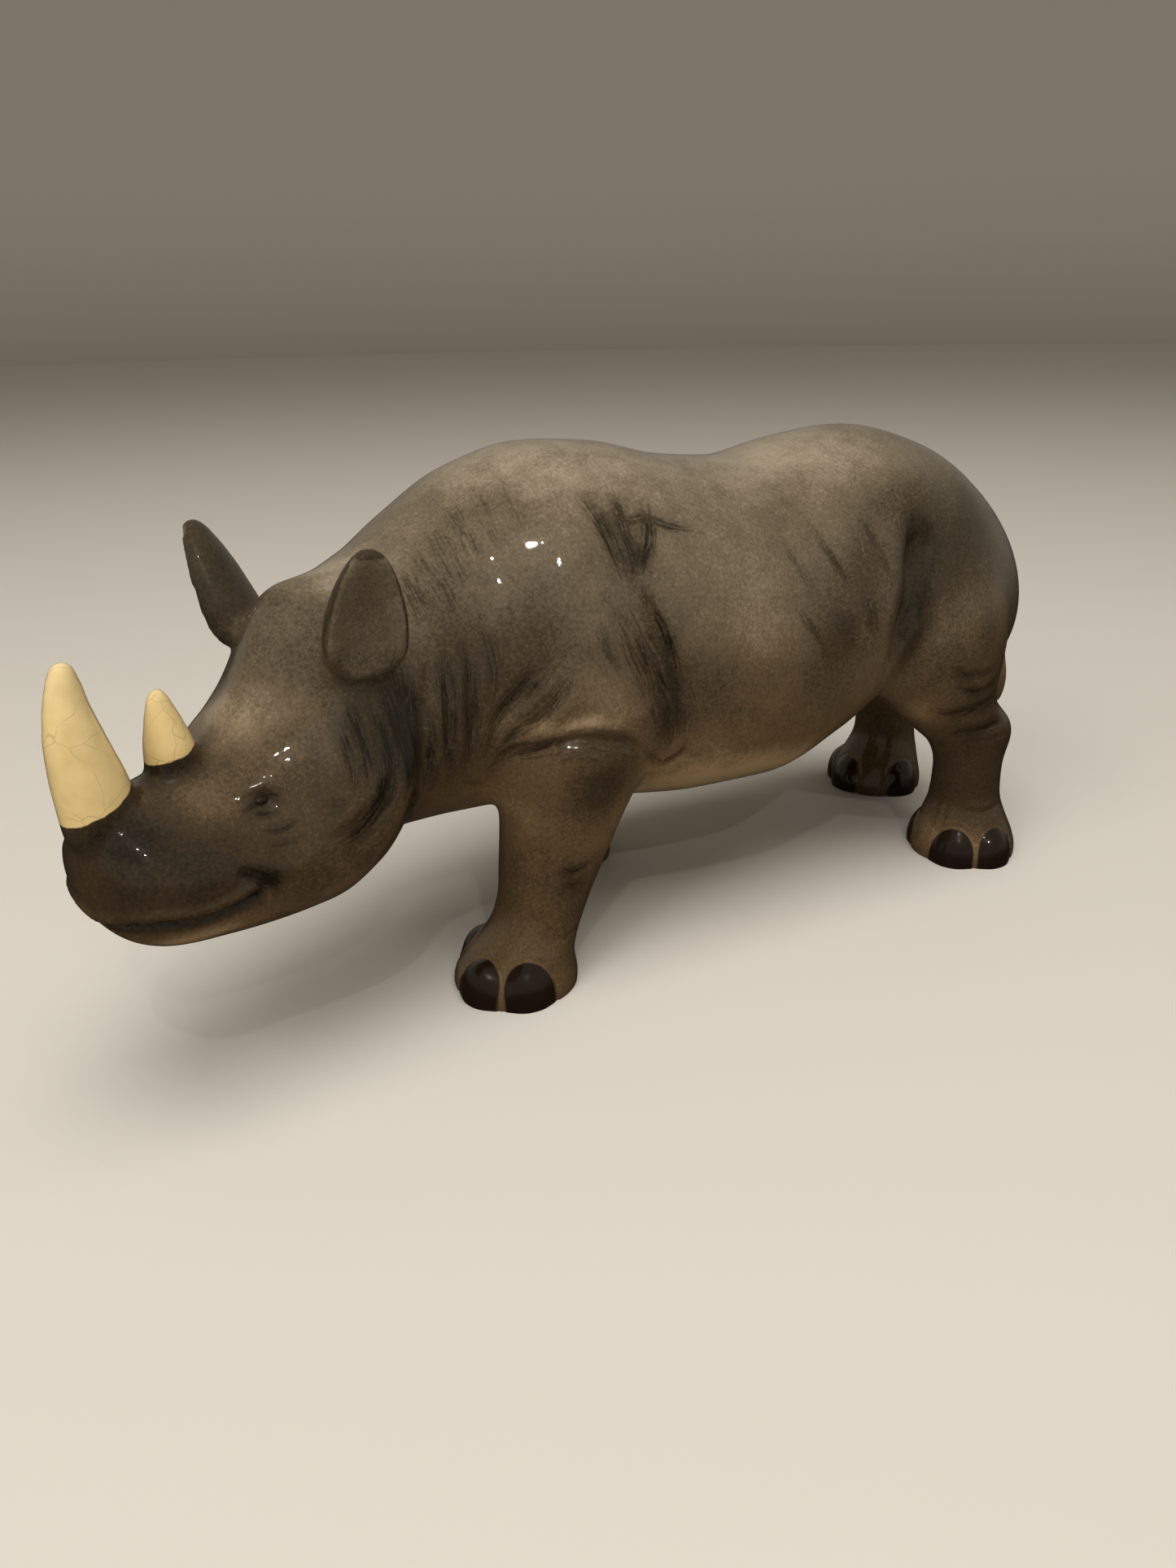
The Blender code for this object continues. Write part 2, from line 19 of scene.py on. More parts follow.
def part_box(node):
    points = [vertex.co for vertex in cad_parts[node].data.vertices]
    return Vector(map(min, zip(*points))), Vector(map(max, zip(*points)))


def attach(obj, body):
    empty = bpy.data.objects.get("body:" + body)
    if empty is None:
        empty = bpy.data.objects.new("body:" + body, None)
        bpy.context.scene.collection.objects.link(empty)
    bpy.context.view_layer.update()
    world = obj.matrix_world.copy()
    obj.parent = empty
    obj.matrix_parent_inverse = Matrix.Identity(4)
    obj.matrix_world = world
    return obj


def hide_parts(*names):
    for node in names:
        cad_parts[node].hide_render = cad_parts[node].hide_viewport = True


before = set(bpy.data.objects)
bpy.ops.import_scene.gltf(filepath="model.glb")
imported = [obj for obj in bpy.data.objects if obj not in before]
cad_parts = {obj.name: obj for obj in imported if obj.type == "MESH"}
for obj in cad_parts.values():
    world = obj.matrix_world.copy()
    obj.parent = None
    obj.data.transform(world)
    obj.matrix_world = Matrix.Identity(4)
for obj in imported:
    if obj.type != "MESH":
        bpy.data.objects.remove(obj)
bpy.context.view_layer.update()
LOW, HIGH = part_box("rhinoceros")

# Steps from muzzle to rump, as in the solid, and steps that the solid's box is long: a hair
# more than the fine skin's outline, so that the skin stays inside
LENGTH_STEPS = 96.0
OUTLINE_STEPS = 97.2
STEP = (HIGH[0] - LOW[0]) / OUTLINE_STEPS

# Fineness of the skin, in steps and counts
VOXEL = 0.3
RING_SIDES = 64
RING_SPACING = 0.8
TRIANGLES = 190000
BALL_SIDES = 32
BALL_RINGS = 20
CUT_SLACK = 1e-5

# The spine runs straight along X, then turns to the left through the neck, and is kept as a row
# of points; a point's distance along it is found in a few rounds
HEAD_TURN = math.radians(24.5)
TURN_START = 8.0
TURN_END = 24.0
SPINE_REACH = 60.0
SPINE_POINTS = 2401
SPINE_ROUNDS = 8

# Trunk, neck and head as rows along the spine: distance, top, bottom, half width,
# share of the height where it is widest, fullness above and fullness below
TRUNK = (
    (-45.0, 28.6, 21.0, 3.0, 0.50, 2.0, 2.0),
    (-44.0, 31.8, 18.8, 6.0, 0.50, 2.0, 2.0),
    (-41.4, 36.0, 17.0, 9.3, 0.48, 2.0, 2.1),
    (-37.0, 39.9, 17.8, 11.8, 0.44, 2.1, 2.1),
    (-31.5, 43.0, 19.2, 13.3, 0.42, 2.2, 2.0),
    (-25.0, 44.6, 17.8, 14.1, 0.42, 2.2, 2.0),
    (-18.0, 43.9, 14.2, 14.8, 0.43, 2.2, 2.15),
    (-11.0, 42.7, 12.1, 15.0, 0.43, 2.2, 2.3),
    (-4.0, 43.3, 12.1, 14.8, 0.44, 2.2, 2.3),
    (3.0, 44.9, 12.8, 14.3, 0.45, 2.2, 2.3),
    (9.0, 45.3, 13.6, 13.6, 0.46, 2.1, 2.2),
    (15.0, 43.9, 14.3, 12.2, 0.46, 2.1, 2.2),
    (20.0, 41.4, 14.8, 10.8, 0.47, 2.0, 2.2),
    (25.0, 38.8, 15.6, 9.7, 0.48, 2.0, 2.2),
    (29.5, 37.7, 16.2, 9.2, 0.46, 1.8, 2.2),
    (33.5, 37.5, 14.5, 9.6, 0.40, 1.5, 2.4),
    (36.5, 33.9, 13.8, 9.4, 0.38, 1.45, 2.5),
    (39.0, 30.2, 13.7, 8.7, 0.38, 1.4, 2.4),
    (42.0, 27.6, 13.8, 7.7, 0.40, 1.5, 2.4),
    (45.5, 26.5, 14.2, 6.6, 0.42, 1.8, 2.4),
    (48.6, 25.8, 14.9, 6.0, 0.44, 2.0, 2.4),
    (50.6, 25.1, 16.0, 5.1, 0.46, 2.1, 2.2),
    (51.4, 24.2, 17.3, 4.0, 0.48, 2.0, 2.1),
    (51.9, 23.1, 18.4, 2.6, 0.48, 2.0, 2.0),
    (52.2, 21.9, 19.6, 1.0, 0.48, 2.0, 2.0),
)

# Legs as rows from below the sole up into the trunk: height, x, y, half length, half width
FORE_LEFT = (
    (-1.0, 16.3, 9.9, 5.3, 5.3),
    (0.8, 16.3, 9.9, 5.6, 5.5),
    (2.4, 15.9, 9.9, 4.9, 5.0),
    (4.2, 14.9, 9.9, 4.2, 4.4),
    (5.8, 14.0, 9.8, 4.0, 4.0),
    (7.5, 13.3, 9.7, 4.05, 4.0),
    (10.5, 12.4, 9.6, 4.6, 4.3),
    (14.0, 11.3, 9.4, 5.3, 4.8),
    (18.0, 10.0, 9.0, 6.4, 5.2),
    (23.0, 9.2, 8.9, 7.6, 5.3),
    (28.0, 9.6, 8.6, 7.4, 5.0),
    (34.0, 10.0, 7.0, 6.0, 4.4),
)
FORE_RIGHT = (
    (-1.0, 2.1, -10.5, 5.3, 5.3),
    (0.8, 2.1, -10.5, 5.6, 5.5),
    (2.4, 1.7, -10.4, 4.9, 5.0),
    (4.2, 0.9, -10.3, 4.2, 4.4),
    (5.8, 0.4, -10.2, 4.0, 4.0),
    (7.5, 0.1, -10.0, 4.05, 4.0),
    (10.5, 0.4, -9.8, 4.6, 4.3),
    (14.0, 1.6, -9.4, 5.3, 4.8),
    (18.0, 3.4, -9.0, 6.4, 5.2),
    (23.0, 6.4, -8.9, 7.6, 5.3),
    (28.0, 8.2, -8.6, 7.4, 5.0),
    (34.0, 9.4, -7.0, 6.0, 4.4),
)
HIND_LEFT = (
    (-1.0, -37.3, 9.9, 5.2, 5.2),
    (0.8, -37.3, 9.9, 5.5, 5.4),
    (2.6, -37.3, 9.8, 5.1, 4.9),
    (4.6, -37.2, 9.7, 4.3, 4.1),
    (7.0, -37.1, 9.6, 3.6, 3.5),
    (10.0, -37.0, 9.6, 3.5, 3.4),
    (12.5, -36.7, 9.5, 4.2, 3.6),
    (14.5, -35.4, 9.4, 5.2, 4.1),
    (18.0, -31.9, 9.5, 5.9, 4.6),
    (22.0, -29.7, 9.6, 8.0, 5.0),
    (27.0, -29.2, 9.2, 8.3, 5.2),
    (33.0, -30.0, 8.0, 7.2, 4.8),
    (37.0, -31.5, 6.5, 6.0, 4.0),
)
HIND_RIGHT = (
    (-1.0, -41.4, -9.2, 5.2, 5.2),
    (0.8, -41.4, -9.2, 5.5, 5.4),
    (2.6, -41.5, -9.2, 5.1, 4.9),
    (4.6, -42.0, -9.2, 4.3, 4.1),
    (7.0, -42.3, -9.2, 3.6, 3.5),
    (10.0, -42.1, -9.2, 3.5, 3.4),
    (12.5, -41.4, -9.2, 4.2, 3.6),
    (14.5, -40.2, -9.2, 4.8, 4.0),
    (18.0, -36.4, -9.4, 6.4, 4.6),
    (22.0, -32.6, -9.5, 8.6, 5.1),
    (27.0, -31.2, -9.2, 9.6, 5.3),
    (33.0, -31.3, -8.0, 8.4, 4.9),
    (37.0, -31.5, -6.5, 6.0, 4.0),
)
LEGS = (FORE_LEFT, FORE_RIGHT, HIND_LEFT, HIND_RIGHT)
LEG_FULLNESS = 2.1
ROUND = 2.0

# Toe nails: each foot's heading, to the left of straight ahead, and the turn of its nails from
# there to the outer side, both in degrees; the nails are eggs sunk into the foot
FOOT_HEADINGS = (25.0, -8.0, 33.0, 0.0)
NAIL_TURNS = (-92.0, 0.0, 56.0)
NAIL_OUT = 4.3
NAIL_HEIGHT = 0.6
NAIL_SIZE = (1.65, 2.3, 3.2)

# Horns on the head's middle plane: distance along the spine, height, radius along, radius across
FRONT_HORN = (
    (49.9, 23.6, 2.6, 2.5),
    (50.0, 25.6, 2.6, 2.5),
    (50.3, 28.0, 2.4, 2.3),
    (50.6, 30.5, 2.0, 1.9),
    (50.7, 32.8, 1.5, 1.45),
    (50.55, 34.6, 1.1, 1.05),
    (50.45, 35.5, 0.8, 0.8),
    (50.4, 35.95, 0.4, 0.4),
)
REAR_HORN = (
    (44.3, 26.4, 1.9, 1.9),
    (44.3, 28.2, 1.8, 1.8),
    (44.4, 30.0, 1.35, 1.35),
    (44.5, 31.4, 0.95, 0.95),
    (44.5, 32.2, 0.65, 0.65),
    (44.5, 32.6, 0.3, 0.3),
)

# Tail, pressed against the rump and swung a little to the left: x, y, height, radius
TAIL = (
    (-42.4, 0.0, 35.5, 1.9),
    (-44.3, 0.5, 32.0, 1.6),
    (-45.6, 1.3, 28.0, 1.25),
    (-46.0, 2.4, 23.5, 1.0),
    (-45.9, 3.5, 19.6, 0.95),
    (-45.7, 4.1, 17.0, 1.15),
    (-45.5, 4.5, 14.9, 0.9),
    (-45.4, 4.7, 13.8, 0.4),
)

# Ears: base and tip on the head as spine distance, distance from the middle plane, height
EAR_BASE = (33.1, 8.3, 32.4)
EAR_TIP = (33.7, 10.6, 41.1)
EAR_FACING = math.radians(60.0)
EAR_LEAN = 0.8
EAR_FULLNESS = 2.4
EAR_SPACING = 0.03
DISH_SHARE = 0.8
DISH_POWER = 2.0
EAR_RIM = 0.55
# rows from base to tip: share of the way, half width, depth behind, depth of the dish
EAR_ROWS = (
    (-0.12, 1.5, 2.4, 0.0),
    (-0.05, 2.4, 2.6, 0.4),
    (0.04, 3.0, 2.6, 1.4),
    (0.18, 3.15, 2.4, 2.1),
    (0.38, 3.0, 2.1, 2.1),
    (0.60, 2.55, 1.8, 1.6),
    (0.80, 1.9, 1.4, 0.9),
    (0.92, 1.3, 1.1, 0.3),
    (0.99, 0.8, 0.8, 0.0),
)

# Smoothing: share of each round, rounds all over, and more where the legs run into the trunk
SOFTEN_SHARE = 0.5
SOFTEN_ROUNDS = 12
BLEND_ROUNDS = 47
BLEND_REACH = 7.5
BLEND_HEIGHT = 19.5

# Swellings and hollows on both sides: distance along the spine, height, reach, rise
SWELLINGS = (
    (9.5, 31.0, 8.0, 0.55),
    (12.0, 22.0, 5.0, 0.7),
    (-23.5, 39.8, 3.2, 0.9),
    (-33.0, 27.0, 7.5, 1.0),
    (-38.2, 14.6, 2.6, 0.5),
    (34.4, 21.5, 5.5, 0.7),
    (39.6, 26.6, 2.6, 0.7),
    (46.0, 20.4, 4.2, 0.3),
    (41.6, 24.5, 1.1, 0.25),
    (31.4, 28.4, 2.8, -0.5),
    (36.5, 31.0, 2.6, -0.3),
)

# Folds on both flanks as points (distance along the spine, height), then half width, depth,
# height of the lip beside the groove and the share of the depth that the right side has
FOLDS = (
    (((6.8, 40.4), (7.6, 36.6), (6.6, 32.4), (5.0, 28.0), (3.6, 24.0), (3.0, 20.0)),
     2.4, 0.7, 0.2, 1.0),
    (((-23.8, 39.4), (-24.6, 35.6), (-24.4, 31.4), (-23.0, 27.0), (-21.0, 23.0)),
     2.6, 1.3, 0.4, 1.0),
    (((6.5, 40.8), (6.6, 37.0), (5.5, 32.9), (4.0, 28.6), (2.7, 24.5), (2.2, 21.0), (3.4, 18.0)),
     0.8, 0.5, 0.2, 1.0),
    (((8.2, 35.5), (7.0, 31.0), (5.4, 27.6), (4.2, 23.8), (3.6, 21.4)), 0.6, 0.35, 0.15, 1.0),
    (((21.6, 21.8), (19.0, 23.0), (16.0, 23.7), (12.4, 24.0), (8.0, 23.1), (5.0, 20.8), (3.6, 18.4)),
     1.3, 0.55, 0.3, 1.0),
    (((-22.6, 39.6), (-23.2, 36.5), (-23.1, 33.0), (-22.5, 29.8), (-21.2, 26.0), (-19.6, 22.6)),
     0.9, 0.8, 0.5, 1.0),
    (((-24.8, 37.6), (-25.2, 34.0), (-24.8, 30.4)), 0.8, 0.4, 0.0, 1.0),
    (((27.8, 33.0), (28.3, 29.4), (28.8, 26.4), (29.2, 23.0), (29.2, 19.6)), 0.75, 0.6, 0.2, 0.5),
    (((25.8, 33.4), (26.4, 29.0), (26.8, 25.2), (26.7, 20.6)), 0.6, 0.45, 0.2, 0.5),
    (((23.9, 33.0), (24.4, 29.1), (24.8, 25.3), (25.1, 20.8)), 0.6, 0.35, 0.15, 0.5),
    (((15.2, 31.0), (19.4, 28.0), (22.4, 25.0), (23.6, 21.6)), 0.6, 0.25, 0.12, 0.6),
    (((13.4, 28.6), (17.4, 26.4), (20.8, 23.6), (22.8, 20.6)), 0.55, 0.22, 0.12, 0.6),
    (((32.9, 30.6), (32.5, 28.0), (32.8, 25.4), (34.2, 22.8), (36.6, 21.2), (39.2, 20.9)),
     0.9, 0.4, 0.2, 1.0),
    (((45.2, 20.8), (44.0, 20.2), (43.0, 19.3), (42.2, 18.3)), 0.5, 0.3, 0.1, 1.0),
    (((42.8, 24.3), (42.0, 24.8), (41.2, 24.9), (40.4, 24.3)), 0.35, 0.25, 0.12, 1.0),
    (((-26.4, 19.4), (-29.4, 18.2), (-32.8, 18.6), (-36.2, 19.2)), 0.6, 0.25, 0.12, 1.0),
    (((-30.0, 15.9), (-33.4, 15.6), (-37.6, 16.0)), 0.6, 0.22, 0.1, 1.0),
)

# A fold fades in over this share of its length, and its lip is placed, sized and ended by its
# half width
FOLD_TAPER = 0.38
LIP_PLACE = 2.0
LIP_WIDTH = 1.3
LIP_REACH = 5.2

# The mouth runs round the muzzle from corner to corner: swing about the pivot in degrees, height
MUZZLE_PIVOT = 45.5
MOUTH = (
    (-112.0, 19.3), (-105.0, 18.7), (-96.0, 18.2), (-80.0, 17.95), (-68.0, 18.0), (-52.0, 18.4),
    (-38.0, 18.4), (-22.0, 17.8), (0.0, 17.4), (22.0, 17.8), (38.0, 18.4), (52.0, 18.4),
    (68.0, 18.0), (80.0, 17.95), (96.0, 18.2), (105.0, 18.7), (112.0, 19.3),
)
MOUTH_STEP = 3
MOUTH_TAPER = 0.07
MOUTH_WIDTH = 0.34
MOUTH_DEPTH = 0.7
LIP_RISE = 0.3

# Finer wrinkles, in the same columns as the folds
WRINKLES = (
    (((31.7, 31.6), (31.1, 28.6), (31.2, 25.4), (32.2, 22.2)), 0.34, 0.16, 0.08, 0.9),
    (((30.6, 32.2), (30.1, 28.6), (30.2, 25.0), (31.0, 21.4)), 0.34, 0.16, 0.08, 0.9),
    (((34.4, 28.4), (34.5, 26.6), (34.9, 24.8)), 0.26, 0.1, 0.05, 0.9),
    (((35.2, 28.0), (35.5, 26.4), (35.8, 24.8)), 0.26, 0.1, 0.05, 0.9),
    (((33.5, 28.2), (33.6, 26.2), (34.0, 24.2)), 0.26, 0.08, 0.04, 0.9),
    (((42.6, 22.7), (41.1, 22.4), (39.6, 23.0)), 0.26, 0.05, 0.02, 1.0),
    (((42.6, 21.9), (41.4, 21.5), (40.2, 21.7)), 0.24, 0.06, 0.03, 1.0),
    (((51.2, 23.4), (50.7, 22.9), (50.3, 22.2)), 0.6, 0.2, 0.0, 1.0),
    (((44.9, 19.9), (43.9, 19.4), (42.9, 18.5)), 0.28, 0.12, 0.06, 1.0),
    (((22.0, 21.4), (19.0, 22.8), (16.0, 23.5), (12.4, 23.8), (8.0, 22.9), (5.0, 20.6), (3.4, 17.8)),
     0.42, 0.38, 0.42, 1.0),
    (((39.2, 21.1), (37.7, 21.7), (36.2, 22.6), (35.1, 23.8)), 0.3, 0.08, 0.03, 1.0),
    (((26.2, 21.6), (23.4, 19.8), (21.0, 19.4)), 0.4, 0.16, 0.08, 0.9),
    (((22.0, 31.5), (21.0, 28.6), (21.6, 26.0)), 0.35, 0.1, 0.05, 0.8),
    (((18.6, 34.0), (17.0, 30.6), (17.4, 28.4)), 0.35, 0.09, 0.04, 0.8),
    (((17.0, 12.4), (14.4, 11.6), (11.6, 11.8), (9.6, 12.6)), 0.35, 0.14, 0.08, 0.9),
    (((16.6, 10.8), (14.2, 10.1), (11.6, 10.4)), 0.32, 0.12, 0.07, 0.9),
    (((18.4, 5.8), (16.0, 5.2), (13.2, 5.4), (11.4, 6.2)), 0.32, 0.1, 0.06, 0.9),
    (((-28.4, 21.6), (-31.6, 20.4), (-35.2, 20.9)), 0.36, 0.14, 0.08, 0.9),
    (((-27.2, 23.8), (-30.2, 22.3), (-33.6, 22.6)), 0.34, 0.1, 0.06, 0.9),
    (((-31.4, 14.4), (-34.4, 14.1), (-37.8, 14.6)), 0.34, 0.12, 0.06, 0.9),
    (((-33.4, 6.2), (-36.4, 5.7), (-39.6, 6.4)), 0.32, 0.1, 0.06, 0.9),
    (((-12.8, 37.6), (-13.9, 35.2), (-14.9, 33.0), (-15.7, 31.2)), 0.4, 0.12, 0.05, 0.8),
    (((-9.2, 37.0), (-10.5, 34.7), (-11.5, 32.4)), 0.4, 0.1, 0.05, 0.8),
    (((-17.8, 37.8), (-18.9, 35.0), (-20.0, 32.8)), 0.4, 0.12, 0.05, 0.8),
    (((-9.5, 31.5), (-11.1, 29.1), (-12.4, 27.2)), 0.4, 0.1, 0.05, 0.8),
)

# Eyes: place on the head as spine distance and height, ball radius, stretch and the part that
# shows, the socket, and the lids as points, half width and depth, which is below nought to raise
EYE_PLACE = (41.25, 24.4)
EYE_RADIUS = 0.5
EYE_SHAPE = (1.25, 1.0, 0.8)
EYE_SHOWS = 0.16
SOCKET_REACH = 0.7
SOCKET_DEPTH = 0.22
LIDS = (
    (((42.9, 24.0), (42.2, 24.55), (41.4, 24.9), (40.6, 24.85), (39.9, 24.2)), 0.24, -0.07),
    (((42.5, 23.85), (41.9, 23.7), (41.2, 23.65), (40.4, 23.9)), 0.22, -0.05),
)

# Nails: where their edge lies on the egg that makes them, and the cuticle's groove round it
NAIL_EDGE = 1.07
CUTICLE = 1.14
CUTICLE_WIDTH = 0.05
CUTICLE_DEPTH = 0.16

# Horns: axis on the spine, border height there, its slope to the front and the reach from the axis
HORN_BORDERS = (
    (50.3, 26.1, -0.42, 3.3),
    (44.3, 27.85, -0.26, 2.4),
)

# Airbrushed washes on both flanks, with painted shade and painted highlights among them where
# marked: spine distance, height, level reach, reach up, amount; dark ones are positive and light ones
# negative
WASHES_AND_PAINTED_LIGHT = (
    (3.6, 29.0, 2.4, 7.5, 0.12),
    (2.8, 23.0, 1.6, 3.4, 0.22),
    (5.4, 37.4, 1.8, 2.8, 0.16),
    (-22.8, 31.0, 1.9, 7.0, 0.48),
    (-20.8, 39.4, 4.0, 2.0, 0.16),
    (-26.5, 34.0, 3.2, 5.5, 0.20),
    (-33.0, 24.0, 6.5, 7.0, 0.06),
    (-37.0, 10.0, 5.5, 7.0, 0.26),
    (-33.3, 2.4, 4.0, 2.0, -0.30),
    (-8.0, 20.5, 9.0, 3.4, 0.14),
    (12.0, 30.0, 6.0, 3.4, 0.10),
    # Painted shadow in the gap behind the cheek
    (30.6, 26.0, 1.8, 7.0, 0.32),
    (-15.4, 29.5, 4.0, 7.0, 0.20),
    (-17.6, 34.0, 2.6, 4.0, 0.14),
    (19.5, 30.5, 4.0, 5.0, 0.14),
    (13.5, 34.0, 3.0, 3.0, 0.08),
    (-38.0, 36.0, 4.0, 5.0, 0.18),
    (-43.0, 33.0, 3.0, 6.0, 0.12),
    (-43.0, 23.0, 3.0, 5.0, -0.22),
    (-36.0, 11.0, 4.0, 3.0, -0.12),
    (10.0, 44.0, 9.0, 3.0, -0.22),
    (-14.0, 43.0, 13.0, 2.6, -0.20),
    (29.6, 37.2, 3.4, 2.6, -0.32),
    # Painted highlight on the nose below the rear horn
    (44.2, 26.0, 1.9, 1.3, -0.24),
    (37.6, 33.8, 5.4, 3.2, -0.30),
    (25.6, 24.0, 3.4, 6.0, 0.20),
    (33.4, 29.6, 2.2, 2.2, 0.12),
    (34.4, 25.4, 3.0, 4.0, 0.06),
    (41.3, 24.4, 1.2, 0.8, 0.28),
    (42.6, 19.7, 0.8, 0.8, 0.28),
    (8.5, 19.6, 3.4, 2.6, 0.22),
    # Painted highlight along the lip of the skin fold over the fore leg
    (12.4, 25.0, 7.0, 0.9, -0.30),
    (47.0, 21.6, 5.0, 3.6, 0.33),
    (44.6, 24.6, 1.6, 1.2, -0.16),
    (36.5, 25.0, 3.4, 4.4, 0.04),
    (50.2, 24.4, 3.0, 1.8, 0.32),
    (44.4, 27.0, 2.6, 1.2, 0.40),
    (51.4, 21.0, 2.4, 3.0, 0.14),
    (14.0, 8.0, 7.0, 9.0, 0.14),
    (11.0, 18.6, 3.2, 3.0, 0.30),
    (0.5, 16.0, 4.0, 3.0, 0.12),
    (39.4, 29.0, 3.2, 2.2, -0.28),
    (42.4, 27.0, 1.6, 0.9, -0.16),
    (-6.5, 30.5, 4.0, 4.2, -0.10),
    (-1.0, 25.6, 4.0, 4.0, 0.18),
    (1.0, 19.6, 11.0, 3.6, -0.16),
    # Lighter belly: partly its paler paint, partly painted light standing in for light from the floor
    (-2.0, 14.8, 9.0, 3.2, -0.80),
    (-13.0, 14.8, 8.0, 2.6, -0.48),
    (25.0, 31.8, 2.6, 3.2, 0.16),
    (-12.4, 29.5, 3.0, 6.0, 0.18),
    (-31.4, 36.5, 4.0, 4.0, 0.22),
    (-26.6, 18.4, 1.8, 2.6, -0.26),
    (20.0, 17.0, 5.0, 2.0, -0.16),
    (48.0, 16.4, 4.0, 0.9, -0.52),
    (36.0, 16.4, 6.0, 1.6, -0.16),
)
